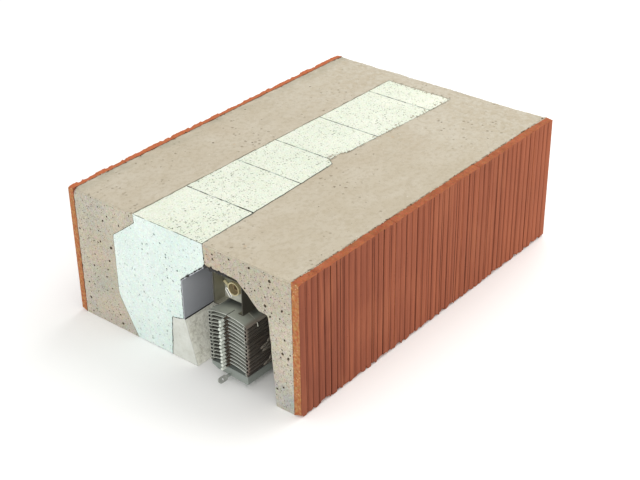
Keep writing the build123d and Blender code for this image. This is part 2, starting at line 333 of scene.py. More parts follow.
def trowelled_concrete():
    """Floated top: warm beige with fine mottling, faint drag marks and clusters of dark specks."""
    finish = Finish("trowelled_concrete", 0.88, specular=0.3)
    broad = finish.patches(6, 4)
    smear = finish.patches(30, 8, 0.4, 0.7, stretch=(1, 0.7, 1), warp=0.6)
    sand = finish.cloud(900, 2)
    finish.base(broad, (194, 183, 161), (203, 194, 175))
    finish.tint(smear, (211, 204, 189), 0.35)
    damp = finish.patches(10, 6, 0.54, 0.74, most=0.4, stretch=(1, 0.8, 1), shift=(4, 2, 0))
    finish.tint(damp, (184, 166, 139))
    mottle = finish.patches(150, 8, 0.47, 0.64, most=0.5, stretch=(1, 0.8, 1), shift=(9, 4, 2))
    finish.tint(mottle, (182, 170, 147))
    drags = finish.patches(75, 6, 0.56, 0.74, most=0.2, stretch=(1, 0.15, 1), shift=(2, 5, 1))
    finish.tint(drags, (176, 165, 143))
    far = finish.ramp("Y", 0.0, back_y, 0, 0.8)
    rough = finish.patches(120, 6, 0.45, 0.62)
    finish.tint(finish.both(far, rough), (208, 202, 186))
    band = finish.ramp("X", inner_x, inner_x + 30 * MM, 1, 0)
    band = finish.both(band, finish.patches(60, 6, 0.38, 0.6, stretch=(1, 0.6, 1), shift=(7, 3, 1)))
    finish.tint(band, (164, 160, 141), 0.7)
    finish.tint(finish.span(sand, 0.3, 0.75, 0, 0.3), (156, 146, 126))
    fines = finish.specks(0.006, 0.0009, 0.4, 6.6)
    finish.tint(fines, (136, 125, 106), 0.5)
    cluster = finish.patches(11, 3, 0.5, 0.58, stretch=(1, 0.8, 1), shift=(6, 2, 8))
    crumbs = finish.both(finish.specks(0.009, 0.0024, 0.5, 4.9), cluster)
    finish.tint(crumbs, (132, 120, 98), 0.6)
    dots = finish.specks(0.024, 0.002, 0.35)
    finish.tint(dots, (98, 86, 68), 0.85)
    chalk = finish.specks(0.016, 0.0017, 0.3, 9.2)
    finish.tint(chalk, (226, 221, 207), 0.4)
    ochre = finish.specks(0.04, 0.004, 0.3, 3.1)
    finish.tint(ochre, (190, 152, 110), 0.3)
    # Painted shadow of the gap beside the facing tiles, patchy where grit lies in it.
    seam = finish.band("X", [inner_x, outer_x], 0.8 * MM, 2.4 * MM, 0.8)
    finish.tint(finish.both(seam, finish.patches(110, 4, 0.4, 0.58)), (108, 92, 68))
    # Painted shadow on the worn edges beside the foam: in the open joint, and darker in the undercut below
    # the foam's edge by the lip.
    open_joint_shadow = finish.patches(30, 4, 0.45, 0.58, most=0.7, shift=(3, 1, 6))
    undercut_shadow = finish.band("X", [lip_x - 10 * MM], 14 * MM, 18 * MM, 0.95)
    undercut_shadow = finish.both(undercut_shadow, finish.band("Y", [cut_y + 195 * MM], 110 * MM, 140 * MM))
    foam_side = finish.band("X", [inner_x + beam_head_width, lip_x - 10 * MM], 14 * MM, 18 * MM)
    open_joint_shadow = finish.maths(finish.both(open_joint_shadow, foam_side), undercut_shadow, "MAXIMUM")
    edge = finish.span(finish.attribute("worn"), 0.5, 0.85)
    finish.tint(finish.both(edge, open_joint_shadow), (74, 66, 52))
    finish.raised(smear, 0.3 * MM, 0.6)
    finish.raised(mottle, -0.6 * MM, 0.7)
    finish.raised(drags, -0.4 * MM, 0.5)
    finish.raised(sand, 0.3 * MM, 0.6)
    finish.raised(finish.both(finish.maths(far, band, "MAXIMUM"), rough), 0.9 * MM, 0.7)
    finish.raised(finish.maths(dots, crumbs, "MAXIMUM"), -0.9 * MM, 0.7)
    return finish.done()


def sawn_concrete():
    """Cut end: grey cement with sand, tinted stones and brown specks."""
    finish = Finish("sawn_concrete", 0.9, specular=0.3)
    broad = finish.patches(9, 4, 0.36, 0.66)
    finish.base(broad, (186, 181, 165), (204, 194, 175))
    warm = finish.patches(14, 5, 0.54, 0.72, most=0.4, shift=(1, 5, 2))
    finish.tint(warm, (200, 176, 150))
    low = finish.ramp("Z", 0.02, 0.1, 0.75, 0)
    cool = finish.patches(13, 4, 0.42, 0.68, shift=(7, 1, 4))
    finish.tint(finish.both(cool, finish.maths(low, 0.25)), (164, 171, 168))
    lip_end = finish.ramp("X", lip_x + 8 * MM, lip_x + 50 * MM, 0.6, 0)
    lip_end = finish.both(lip_end, finish.ramp("X", lip_x - 40 * MM, lip_x - 20 * MM))
    lip_end = finish.both(lip_end, finish.patches(70, 5, 0.4, 0.62))
    finish.tint(lip_end, (190, 148, 118))
    shaded = finish.ramp("Z", ceiling_z - 50 * MM, ceiling_z - 15 * MM, 0, 0.2)
    shaded = finish.both(shaded, finish.ramp("X", lip_x - 30 * MM, lip_x - 20 * MM))
    finish.tint(shaded, (132, 116, 92))
    stones = finish.cells(240, "Color")
    finish.tint(0.12, stones, blend="SOFT_LIGHT")
    sand = finish.cloud(520, 4)
    finish.tint(finish.span(sand, 0.42, 0.66, 0, 0.55), (132, 124, 108))
    fines = finish.specks(0.0036, 0.0008, 0.42, 3.7)
    finish.tint(fines, (100, 91, 76), 0.85)
    pale = finish.specks(0.006, 0.0011, 0.3, 2.4)
    finish.tint(pale, (216, 210, 196), 0.45)
    brown = finish.specks(0.011, 0.0011, 0.45, 1.7)
    finish.tint(brown, (124, 104, 82), 0.65)
    dark = finish.specks(0.022, 0.0011, 0.3, 5.3)
    finish.tint(dark, (82, 74, 64), 0.8)
    finish.raised(finish.cloud(260, 5), 0.9 * MM, 0.6)
    finish.raised(fines, -0.7 * MM, 0.7)
    finish.raised(dark, -1.2 * MM, 0.8)
    return finish.done()


def cast_concrete():
    """Shuttered faces: grey with board shade, blow holes and cement bloom."""
    finish = Finish("cast_concrete", 0.86, specular=0.3)
    broad = finish.patches(6, 5)
    finish.base(broad, (168, 160, 142), (190, 182, 163))
    runs = finish.patches(18, 5, 0.5, 0.75, most=0.5, stretch=(1, 1, 0.2))
    finish.tint(runs, (205, 199, 184))
    sand = finish.cloud(600, 3)
    finish.tint(finish.span(sand, 0.4, 0.75, 0, 0.3), (128, 119, 102))
    holes = finish.specks(0.018, 0.0016, 0.3, 2.2)
    finish.tint(holes, (88, 80, 68), 0.8)
    finish.raised(finish.cloud(180, 5), 0.7 * MM, 0.5)
    finish.raised(holes, -1.2 * MM, 0.8)
    return finish.done()


def pore_shade():
    """Inside of the air pores, darker and browner than the face round them: painted shade in the pores."""
    finish = Finish("concrete_pore_shade", 0.95, specular=0.2)
    tone = finish.patches(300, 3, 0.3, 0.7)
    finish.base(tone, (58, 50, 42), (104, 92, 76))
    finish.raised(tone, 0.3 * MM, 0.6)
    return finish.done()


def foam_skin(finish, pale, shade, pit, pit_share, whole=0.0):
    """Fused beads: pale fills, shaded seams, broken dark edges with painted shadow of the undercut by the
    lip, and pits but where the skin is whole.
    """
    seam = finish.span(finish.cells(1 / bead_size, feature="DISTANCE_TO_EDGE"), 0.0, 0.14, 1, 0)
    finish.base(finish.patches(10, 4, 0.35, 0.7), pale, shade)
    mottle = finish.patches(95, 4, 0.42, 0.66, most=0.5, shift=(6, 1, 3))
    finish.tint(mottle, shade)
    finish.tint(0.1, finish.cells(1 / bead_size, "Color"), blend="SOFT_LIGHT")
    finish.tint(seam, pit, 0.14)
    patch = finish.patches(10, 3, 0.36, 0.58, least=0.35, shift=(2, 8, 5))
    near = finish.ramp("Y", cut_y, cut_y + 240 * MM, 1.2, 0.75)
    near = finish.both(near, finish.maths(1, whole, "SUBTRACT"))
    dots = finish.both(finish.specks(0.0036, 0.0012, pit_share, 8.3), near)
    finish.tint(dots, pit, 0.75)
    pits = finish.both(finish.specks(0.0058, 0.0016, pit_share, 4.4), finish.both(patch, near))
    finish.tint(pits, pit, 0.9)
    broken = finish.patches(42, 3, 0.44, 0.56)
    # Painted shadow of the undercut by the lip, laid on the foam's edge there.
    undercut_shadow = finish.ramp("Y", cut_y + 300 * MM, cut_y + 330 * MM, 0.9, 0)
    undercut_shadow = finish.both(undercut_shadow, finish.ramp("X", lip_x - 32 * MM, lip_x - 26 * MM))
    broken = finish.maths(broken, undercut_shadow, "MAXIMUM")
    edge = finish.span(finish.attribute("worn"), 0.4, 0.9, 0, 0.95)
    edge = finish.both(edge, finish.ramp("Y", first_block_y + 20 * MM, first_block_y + 120 * MM, 1, 0.7))
    finish.tint(finish.both(edge, broken), (58, 62, 52))
    finish.raised(pits, -1.0 * MM, 0.9)
    finish.raised(seam, -0.35 * MM, 0.6)


def planed_foam():
    """Top of the core: white foam, with its skin whole on the beam side of the first block."""
    finish = Finish("planed_foam", 0.75, specular=0.3)
    # Painted light: the top is painted lighter towards the far end, where the light falls brighter.
    pale = finish.mix(finish.ramp("Y", 0.0, back_y), (236, 241, 225), (245, 247, 230))
    ragged = finish.maths(finish.axis("X"), finish.both(finish.cloud(28, 3), 40 * MM))
    core_middle = (inner_x + beam_head_width + lip_x) / 2
    whole = finish.span(ragged, core_middle - 20 * MM, core_middle + 12 * MM, 0.75, 0)
    whole = finish.both(whole, finish.ramp("Y", first_block_y - 3 * MM, first_block_y - 1 * MM, 1, 0))
    foam_skin(finish, pale, (226, 233, 214), (92, 100, 82), 0.5, whole)
    return finish.done()


def sawn_foam():
    """Cut end and sides of the core: bluish white foam with few pits."""
    finish = Finish("sawn_foam", 0.7, specular=0.3)
    foam_skin(finish, (227, 238, 233), (211, 227, 221), (128, 143, 139), 0.22)
    return finish.done()


def grey_foam():
    """Lower strip: off-white foam with a rough, dusty skin and a greyer cut end; the sides are painted
    near-white, partly painted light that lifts the shaded side in the pocket.
    """
    finish = Finish("grey_foam", 0.85, specular=0.25)
    # Partly painted light: the sides are painted near-white, lighter than the greyer cut end, to lift the
    # shaded side in the pocket.
    tone = finish.patches(40, 6, 0.34, 0.68)
    finish.base(tone, (243, 243, 228), (254, 254, 242))
    cut = finish.ramp("Y", cut_y + 0.6 * MM, cut_y + 2 * MM, 0.9, 0)
    finish.tint(cut, finish.mix(tone, (190, 193, 186), (204, 207, 201)))
    dust = finish.patches(190, 5, 0.47, 0.68, most=0.45, stretch=(1, 0.6, 1), shift=(3, 3, 3))
    dust = finish.both(dust, finish.span(cut, 0, 0.9, 1, 0.4))
    finish.tint(dust, (178, 174, 156))
    pits = finish.specks(0.006, 0.001, 0.3, 6.1)
    finish.tint(pits, (140, 140, 128), 0.4)
    finish.raised(finish.cloud(160, 6), 1.6 * MM, 0.8)
    finish.raised(pits, -0.8 * MM, 0.7)
    return finish.done()


def clay_skin():
    """Fired face: red-brown ribs with upright drag lines and orange streaks, a painted lit side and a painted
    shaded side on each rib, and painted shade in the grooves.
    """
    finish = Finish("clay_skin", 0.82, specular=0.15)
    across = finish.attribute("across")
    groove = finish.attribute("groove")
    patch = finish.patches(7, 4, 0.36, 0.66, stretch=(1, 1, 0.5))
    finish.base(patch, (135, 75, 56), (155, 88, 64))
    far = finish.ramp("Y", cut_y, back_y, 0, 0.65)
    finish.tint(far, (188, 109, 75))
    # Painted light and shade: one side of each rib is painted warmer and lighter, the other darker.
    warm = finish.span(across, 0.45, 1.0, 0, 0.3)
    finish.tint(warm, (170, 99, 70))
    shaded_rib_side = finish.span(across, 0.0, 0.4, 0.3, 0)
    finish.tint(shaded_rib_side, (118, 66, 54))
    streak = finish.patches(170, 4, 0.52, 0.72, most=0.55, stretch=(1, 1, 0.035), shift=(2, 9, 4))
    finish.tint(streak, (188, 110, 76))
    drag = finish.patches(520, 3, 0.36, 0.7, stretch=(1, 1, 0.02))
    finish.tint(drag, (104, 56, 44), 0.35)
    bloom = finish.patches(20, 5, 0.55, 0.75, most=0.4, stretch=(1, 1, 0.35), shift=(3, 6, 1))
    finish.tint(bloom, (178, 110, 78))
    # Painted shade in the grooves and along the tile joints, in patches.
    groove_shadow = finish.patches(24, 4, 0.36, 0.64, least=0.55, stretch=(1, 1, 0.3), shift=(8, 2, 6))
    finish.tint(finish.both(finish.span(groove, 0.3, 0.8), groove_shadow), (58, 23, 14))
    grit = finish.specks(0.007, 0.0008, 0.25, 2.9)
    finish.tint(grit, (92, 50, 40), 0.5)
    finish.raised(drag, 0.35 * MM, 0.6)
    finish.raised(finish.cloud(420, 4), 0.3 * MM, 0.5)
    return finish.done()


def clay_cut():
    """Sawn and broken clay: orange on top, ochre at the cut end, with grog, pores, and painted shadow with
    grit in the seam by the concrete.
    """
    finish = Finish("clay_cut", 0.88, specular=0.25)
    tone = finish.patches(60, 5)
    finish.base(tone, (152, 82, 49), (175, 100, 63))
    inner = finish.ramp("X", inner_x - 2 * MM, inner_x + 2 * MM, 0.55, 0)
    finish.tint(inner, (208, 114, 68))
    sawn = finish.ramp("Y", cut_y + 0.5 * MM, cut_y + 1.2 * MM, 0.85, 0)
    grain = finish.patches(190, 5, 0.4, 0.62, shift=(3, 8, 2))
    finish.tint(sawn, finish.mix(grain, (158, 92, 56), (176, 132, 84)))
    grog = finish.cells(420, "Color")
    finish.tint(0.16, grog, blend="SOFT_LIGHT")
    pale = finish.both(finish.specks(0.0034, 0.0008, 0.42, 5.1), finish.maths(sawn, 0.25))
    finish.tint(pale, (212, 180, 140), 0.6)
    pores = finish.specks(0.0034, 0.0008, 0.36, 7.7)
    finish.tint(pores, (104, 60, 42), 0.65)
    dust = finish.patches(240, 4, 0.58, 0.76, most=0.35, shift=(5, 2, 9))
    finish.tint(dust, (200, 152, 112))
    # Painted shadow of the gap by the concrete, patchy where grit lies in it.
    seam = finish.band("X", [inner_x, outer_x], 0.5 * MM, 1.8 * MM, 0.9)
    finish.tint(finish.both(seam, finish.patches(90, 5, 0.4, 0.58)), (92, 60, 40))
    finish.raised(finish.cloud(330, 5), 0.8 * MM, 0.7)
    finish.raised(pores, -0.7 * MM, 0.7)
    return finish.done()


def clay_grit():
    """Dark brown grit from the tile edges."""
    shades = ((76, 52, 36), (122, 88, 62))
    return two_tone("clay_grit", shades, (400, 3), (900, 2), (0.2 * MM, 0.6), 0.95, specular=0.2)


def slate_sheet():
    """Blue-grey lining sheet with fine drawn lines and dusty scuffs."""
    finish = Finish("slate_sheet", 0.55, specular=0.4)
    tone = finish.patches(12, 5, 0.34, 0.68, stretch=(1, 0.5, 1))
    finish.base(tone, (158, 162, 168), (176, 179, 184))
    lines = finish.cloud(480, 3, (1, 0.04, 1))
    finish.tint(finish.span(lines, 0.45, 0.75, 0, 0.25), (168, 170, 174))
    scuff = finish.patches(70, 6, 0.6, 0.75, most=0.35, stretch=(1, 0.5, 1), shift=(1, 2, 3))
    finish.tint(scuff, (182, 184, 184))
    finish.roughened(finish.span(tone, 0, 1, 0.48, 0.66))
    finish.raised(lines, 0.12 * MM, 0.4)
    return finish.done()


def galvanised_sheet():
    """Zinc-coated rolled steel: soft spangle, olive film and rolling lines, with painted shade on the near
    end and the outer leg, and a painted highlight on the turned-in edge.
    """
    finish = Finish("galvanised_sheet", 0.45, metallic=0.55)
    finish.base(finish.patches(30, 4), (128, 126, 110), (154, 152, 136))
    spangle = finish.span(finish.cells(150, stretch=(1, 0.6, 1)), 0.1, 0.7, 0, 0.4)
    finish.tint(spangle, (140, 136, 116))
    film = finish.patches(55, 5, 0.5, 0.75, most=0.5, stretch=(1, 0.4, 1), shift=(2, 4, 6))
    finish.tint(film, (120, 116, 96))
    # Painted highlight along the turned-in lower edge on the inner side.
    flange_highlight = finish.ramp("Z", headrail_low.z + 1.2 * MM, headrail_low.z + 2.2 * MM, 0.7, 0)
    flange_highlight = finish.both(flange_highlight, finish.ramp("X", blind_x - 2 * MM, blind_x, 1, 0))
    finish.tint(flange_highlight, (206, 204, 190))
    # Painted shade on the near end of the headrail and on its outer leg.
    edge = finish.ramp("Y", headrail_low.y + 0.5 * MM, headrail_low.y + 2 * MM, 0.85, 0)
    outer_leg_shadow = finish.ramp("X", headrail_high.x - 1.2 * MM, headrail_high.x, 0, 0.8)
    finish.tint(finish.maths(edge, outer_leg_shadow, "MAXIMUM"), (62, 60, 54))
    lines = finish.cloud(620, 2, (1, 0.03, 1))
    finish.roughened(finish.span(lines, 0.3, 0.7, 0.36, 0.56))
    finish.raised(lines, 0.06 * MM, 0.4)
    return finish.done()


def bright_zinc():
    """Bearing plates and ladder clip: clean zinc with a yellow bloom, with painted shade above the shaft and
    in a band below it.
    """
    finish = Finish("bright_zinc", 0.38, metallic=0.45)
    tone = finish.patches(70, 4)
    finish.base(tone, (172, 173, 160), (202, 203, 191))
    bloom = finish.patches(110, 4, 0.52, 0.75, most=0.5, shift=(3, 1, 2))
    finish.tint(bloom, (186, 180, 150))
    # Painted shade on the plate above the shaft, under the headrail.
    upper_plate_shade = finish.ramp("Z", shaft_z - 3 * MM, shaft_z + 1 * MM, 0, 0.85)
    finish.tint(upper_plate_shade, (122, 124, 104))
    # Painted shade in a band below the shaft.
    hollow_shade = finish.band("Z", [shaft_z - 14 * MM], 2 * MM, 7 * MM, 0.5)
    finish.tint(hollow_shade, (138, 140, 126))
    finish.roughened(finish.span(tone, 0, 1, 0.3, 0.48))
    finish.raised(finish.cloud(500, 3), 0.08 * MM, 0.4)
    return finish.done()


def slot_rim_highlight():
    """Bright edge of the slot: a painted highlight where the pressed edge catches the light."""
    shades = ((226, 226, 218), (246, 246, 240))
    return two_tone("slot_rim_highlight", shades, (240, 3), (700, 2), (0.05 * MM, 0.4), 0.35, metallic=0.2)


def cream_moulding():
    """Bushes with their arm, drums and headrail clips: cream nylon with patches of grease, darker brown
    inside the bore.
    """
    finish = Finish("cream_moulding", 0.5, specular=0.45)
    finish.base(finish.patches(60, 4), (172, 163, 124), (196, 187, 148))
    grease = finish.patches(130, 4, 0.52, 0.72, most=0.6, shift=(4, 4, 1))
    finish.tint(grease, (140, 122, 84))
    ends = {0: finish.stretched((1, 0, 1)), 1: (blind_x, 0, shaft_z)}
    from_shaft = finish.add("ShaderNodeVectorMath", ends, operation="DISTANCE").outputs["Value"]
    # Darker brown inside the bore.
    bore = finish.span(from_shaft, 9.2 * MM, 9.8 * MM, 0.9, 0)
    finish.tint(bore, (122, 102, 72))
    finish.raised(finish.cloud(380, 3), 0.1 * MM, 0.4)
    return finish.done()


def greased_steel():
    """Tilt shaft: drawn steel under brown grease."""
    finish = Finish("greased_steel", 0.4, metallic=0.6)
    tone = finish.patches(90, 5, stretch=(1, 0.2, 1))
    finish.base(tone, (84, 70, 50), (124, 108, 80))
    finish.raised(finish.cloud(500, 3, (1, 0.05, 1)), 0.08 * MM, 0.4)
    return finish.done()


def slat_enamel():
    """Roll-formed aluminium in grey enamel: bare cut ends, browner streaks on the outer edge, darker at the
    left of the ends, painted shade in the bores, between the slats and under the headrail, and painted light
    on the tops near the ends.
    """
    finish = Finish("slat_enamel", 0.42, specular=0.5)
    from_middle = finish.beside("Y", slat_middle_y)

    def from_end(start, end, first=0.0, last=1.0):
        """From first to last between two distances from the slat ends, in mm."""
        reaches = [slat_half_length - distance * MM for distance in (start, end)]
        return finish.span(from_middle, *reaches, first, last)

    tone = finish.patches(16, 4, stretch=(1, 0.4, 1))
    finish.base(tone, (160, 166, 154), (182, 187, 175))
    soil = finish.patches(48, 5, 0.55, 0.76, most=0.45, stretch=(1, 0.5, 1), shift=(5, 1, 2))
    finish.tint(soil, (96, 86, 74))
    dust = finish.patches(420, 3, 0.5, 0.8, most=0.2)
    finish.tint(dust, (176, 178, 168))
    # Browner streaks towards the outer edge.
    outer = finish.ramp("X", blind_x + 32 * MM, blind_x + 37 * MM)
    runs = finish.patches(90, 4, 0.35, 0.65, most=0.95, least=0.45, stretch=(1, 0.25, 0.6), shift=(3, 7, 2))
    finish.tint(finish.both(outer, runs), (124, 106, 96))
    # Painted shade in the gaps between the slats, near their ends.
    between = finish.both(from_end(1.6, 5, 0, 0.88), finish.ramp("Z", pack_top - 8 * MM, pack_top - 13 * MM))
    finish.tint(between, (66, 61, 55))
    # Painted light on the tops of the slats near their ends.
    inner_side = finish.ramp("X", blind_x + 31 * MM, blind_x + 34 * MM, 1, 0)
    mouth = finish.both(from_end(6, 2.5, 0, 0.12), inner_side)
    finish.tint(mouth, (206, 209, 203))
    # Painted shadow of the headrail on the top slat.
    headrail_shadow = finish.ramp("Y", slat_low.y + 18 * MM, slat_low.y + 34 * MM, 0, 0.85)
    headrail_shadow = finish.both(headrail_shadow, finish.ramp("Z", pack_top - 7 * MM, pack_top - 3 * MM))
    finish.tint(headrail_shadow, (62, 62, 58))
    bare = finish.both(from_end(1.4, 0.7), finish.ramp("X", blind_x - 16 * MM, blind_x, 0.1, 0.75))
    bare = finish.both(bare, finish.ramp("X", blind_x + 33 * MM, blind_x + 35 * MM, 1, 0))
    finish.tint(bare, (206, 209, 203))
    # Darker towards the left at the slat ends.
    left_end_darkening = finish.both(from_end(6, 2), finish.ramp("X", blind_x - 24 * MM, blind_x - 6 * MM, 0.2, 0))
    finish.tint(left_end_darkening, (94, 85, 77))
    # Painted shade inside the rolled bores of the slat edges.
    over_foot = finish.maths(finish.axis("Z"), first_bead_z - slat_pitch / 2, "SUBTRACT")
    rise = finish.maths(finish.maths(over_foot, slat_pitch, "MODULO"), slat_pitch / 2, "SUBTRACT")
    aside = finish.beside("X", slat_low.x + slat_bead_radius, slat_high.x - slat_bead_radius)
    from_bead = finish.maths(finish.maths(finish.both(rise, rise), finish.both(aside, aside)), 0.5, "POWER")
    bore = finish.span(from_bead, slat_bore_radius, slat_bore_radius + 0.3 * MM, 0.95, 0)
    finish.tint(bore, (24, 21, 19))
    finish.roughened(finish.span(tone, 0, 1, 0.34, 0.5))
    finish.raised(finish.cloud(320, 3, (1, 0.08, 1)), 0.05 * MM, 0.4)
    return finish.done()


def rail_enamel():
    """Pale grey-green bottom rail with scuffs along its length, and greyer eyelets at its ends."""
    finish = Finish("rail_enamel", 0.42, specular=0.5)
    finish.base(finish.patches(18, 4), (116, 124, 118), (135, 142, 136))
    scuff = finish.patches(120, 5, 0.58, 0.75, most=0.5, stretch=(1, 0.2, 1), shift=(2, 2, 7))
    finish.tint(scuff, (112, 112, 102))
    from_middle = finish.beside("Y", slat_middle_y)
    eyelet = finish.span(from_middle, slat_half_length + 3 * MM, slat_half_length + 6 * MM, 0, 0.9)
    finish.tint(eyelet, (158, 160, 154))
    finish.raised(finish.cloud(420, 3), 0.06 * MM, 0.4)
    return finish.done()


def pin_tip():
    """Pale moulded heads of the guide pins."""
    shades = ((190, 197, 187), (220, 225, 216))
    return two_tone("pin_tip", shades, (200, 3), (700, 2), (0.05 * MM, 0.4), 0.45, specular=0.45)


def pin_shank_shade():
    """Shanks of the guide pins in dark brown: painted shade where they lie in shadow."""
    shades = ((62, 54, 46), (92, 82, 70))
    return two_tone("pin_shank_shade", shades, (220, 3), (700, 2), (0.05 * MM, 0.4), 0.5, specular=0.4)


def cord_braid():
    """Grey-brown braided ladder cord."""
    finish = Finish("cord_braid", 0.8, specular=0.25)
    strands = finish.cells(900, stretch=(1, 1, 0.5))
    tone = finish.span(strands, 0.1, 0.6)
    finish.base(tone, (178, 172, 160), (116, 110, 100))
    finish.raised(tone, -0.25 * MM, 0.8)
    return finish.done()


def black_glue_and_shadow():
    """Black adhesive squeezed out round the lining, and black beads of painted shadow in the gaps there."""
    shades = ((26, 25, 25), (48, 46, 44))
    return two_tone("black_glue_and_shadow", shades, (160, 4), (500, 3), (0.3 * MM, 0.6), 0.6, specular=0.4)


def end_rings(node, y):
    """Rings of (x, z) points round the flat end of a CAD piece at y."""
    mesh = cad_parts[node].data
    edges = set()
    for face in mesh.polygons:
        corners = [mesh.vertices[number].co for number in face.vertices]
        if all(abs(corner.y - y) < SAME_PLACE for corner in corners):
            keys = [(round(corner.x, 6), round(corner.z, 6)) for corner in corners]
            edges.update(zip(keys, keys[1:] + keys[:1]))
    follows = {first: second for first, second in edges if (second, first) not in edges}
    rings = []
    while follows:
        point = min(follows)
        ring = []
        while point in follows:
            ring.append(point)
            point = follows.pop(point)
        rings.append(ring)
    return rings


def spaced(ring, step):
    """The ring with points added so that none lie further apart than step(x, z) allows."""
    points = []
    for (ax, az), (bx, bz) in zip(ring, ring[1:] + ring[:1]):
        gap = math.hypot(bx - ax, bz - az)
        count = max(1, round(gap / step((ax + bx) / 2, (az + bz) / 2)))
        for number in range(count):
            part = number / count
            points.append((ax + (bx - ax) * part, az + (bz - az) * part))
    return points


def stations(start, end, step):
    count = max(1, round((end - start) / step))
    return [start + (end - start) * number / count for number in range(count + 1)]


def inside_points(ring, step):
    """Staggered points inside a ring, row by row, clear of its edge by half a step."""
    points = []
    low = min(v for u, v in ring)
    high = max(v for u, v in ring)
    rows = max(1, round((high - low) / (step * 0.87)))
    for row in range(1, rows):
        v = low + (high - low) * row / rows
        crossings = []
        for (ua, va), (ub, vb) in zip(ring, ring[1:] + ring[:1]):
            if (va > v) != (vb > v):
                crossings.append(ua + (ub - ua) * (v - va) / (vb - va))
        crossings.sort()
        for left, right in zip(crossings[::2], crossings[1::2]):
            u = left + step * (0.6 + 0.5 * (row % 2))
            while u < right - 0.5 * step:
                points.append((u, v))
                u += step
    return points


class Shell:
    """Points and faces of one piece in the making."""

    def __init__(self):
        self.points = []
        self.faces = []
        self.finishes = []
        self.shades = {}

    def net(self, rows, finish=0, closed=False):
        """Quads between rows of points; closed joins each row's end to its start."""
        base = len(self.points)
        width = len(rows[0])
        for row in rows:
            self.points.extend(row)
        for row in range(len(rows) - 1):
            for column in range(width if closed else width - 1):
                first = base + row * width + column
                second = base + row * width + (column + 1) % width
                self.faces.append((first, second, second + width, first + width))
                self.finishes.append(finish)

    def sweep(self, ring, lengths):
        """The skin of a ring of (x, z) points carried along y."""
        self.net([[(x, y, z) for x, z in ring] for y in lengths], closed=True)

    def fill(self, ring, place, step, finish=0, pores=(), pore_finish=0):
        """A flat face inside a ring; each pore (u, v, radius, stretch, turn) becomes a cup."""
        outline = [Vector(point) for point in ring]
        edges = [(number, (number + 1) % len(ring)) for number in range(len(ring))]
        owner = {}
        rims = []
        finder = kdtree.KDTree(len(pores))
        for number, pore in enumerate(pores):
            finder.insert((*pore[:2], 0), number)
            rims.append(pore_rim(*pore))
            start = len(outline)
            count = len(rims[-1])
            outline.extend(Vector(point) for point in rims[-1])
            edges.extend((start + side, start + (side + 1) % count) for side in range(count))
            owner.update((start + side, number) for side in range(count))
        finder.balance()
        for u, v in inside_points(ring, step):
            near = finder.find((u, v, 0)) if pores else None
            if near is None or near[2] > 1.35 * pores[near[1]][2]:
                outline.append(Vector((u, v)))
        made = geometry.delaunay_2d_cdt(outline, edges, [list(range(len(ring)))], 1, 1e-7)
        points, faces, sources = made[0], made[2], made[3]
        base = len(self.points)
        self.points.extend(place(point.x, point.y, 0) for point in points)
        owners = [{owner[source] for source in group if source in owner} for group in sources]
        for face in faces:
            if not set.intersection(*[owners[number] for number in face]):
                self.faces.append(tuple(base + number for number in face))
                self.finishes.append(finish)
        for rim, pore in zip(rims, pores):
            self.cup(rim, pore, place, pore_finish)

    def cup(self, rim, pore, place, finish):
        """The inside of a pore below its rim, about as deep as its radius."""
        middle_u, middle_v, radius = pore[:3]
        rows = [[place(u, v, 0) for u, v in rim]]
        for share, drop in ((0.75, 0.7), (0.35, 1.1)):
            ring = [(middle_u + (u - middle_u) * share, middle_v + (v - middle_v) * share) for u, v in rim]
            rows.append([place(u, v, radius * drop) for u, v in ring])
        self.net(rows, finish, closed=True)
        base = len(self.points)
        self.points.extend(rows[-1])
        self.faces.append(tuple(range(base, base + len(rim))))
        self.finishes.append(finish)


def pore_rim(u, v, radius, stretch, turn):
    """An oval ring about (u, v), turned from the u axis."""
    points = []
    for side in range(pore_sides):
        angle = 2 * math.pi * side / pore_sides
        along = radius * stretch * math.cos(angle)
        aside = radius * math.sin(angle) / stretch
        points.append((
            u + along * math.cos(turn) - aside * math.sin(turn),
            v + along * math.sin(turn) + aside * math.cos(turn),
        ))
    return points


def end_face(y, inward):
    """Sets points (x, z) on an end face at y; inward is +1 or -1, the way into the piece."""
    return lambda x, z, depth: (x, y + inward * depth, z)


def placed(name, data):
    """A new object in the scene."""
    piece = bpy.data.objects.new(name, data)
    scene.collection.objects.link(piece)
    return piece


def mesh_from(form, name):
    """A new mesh from a form, which is then freed."""
    mesh = bpy.data.meshes.new(name)
    form.to_mesh(mesh)
    form.free()
    return mesh


def smooth(mesh):
    mesh.polygons.foreach_set("use_smooth", [True] * len(mesh.polygons))


def built(name, shell, finishes, relief=None):
    """One closed mesh object from a shell, with its relief and finishes."""
    mesh = bpy.data.meshes.new(name)
    mesh.from_pydata(shell.points, [], shell.faces)
    mesh.polygons.foreach_set("material_index", shell.finishes)
    form = bmesh.new()
    form.from_mesh(mesh)
    for shade, values in shell.shades.items():
        layer = form.verts.layers.float.new(shade)
        form.verts.ensure_lookup_table()
        for number, value in values.items():
            form.verts[number][layer] = value
    bmesh.ops.remove_doubles(form, verts=form.verts, dist=WELD)
    bmesh.ops.recalc_face_normals(form, faces=form.faces)
    form.normal_update()
    if relief:
        moves = []
        # Sharp edges are marked as worn, for the wear below and for the painted shadow some finishes lay
        # along them.
        edge_wear = form.verts.layers.float.new("worn")
        for point in form.verts:
            worn = any(edge.calc_face_angle(0) > SHARP for edge in point.link_edges)
            point[edge_wear] = 1.0 if worn else 0.0
            moves.append((point, relief(point.co, point.normal, worn)))
        for point, move in moves:
            point.co += move
    form.to_mesh(mesh)
    form.free()
    smooth(mesh)
    mesh.set_sharp_from_angle(angle=SHARP)
    for finish in finishes:
        mesh.materials.append(finish)
    mesh.update()
    return placed(name, mesh)


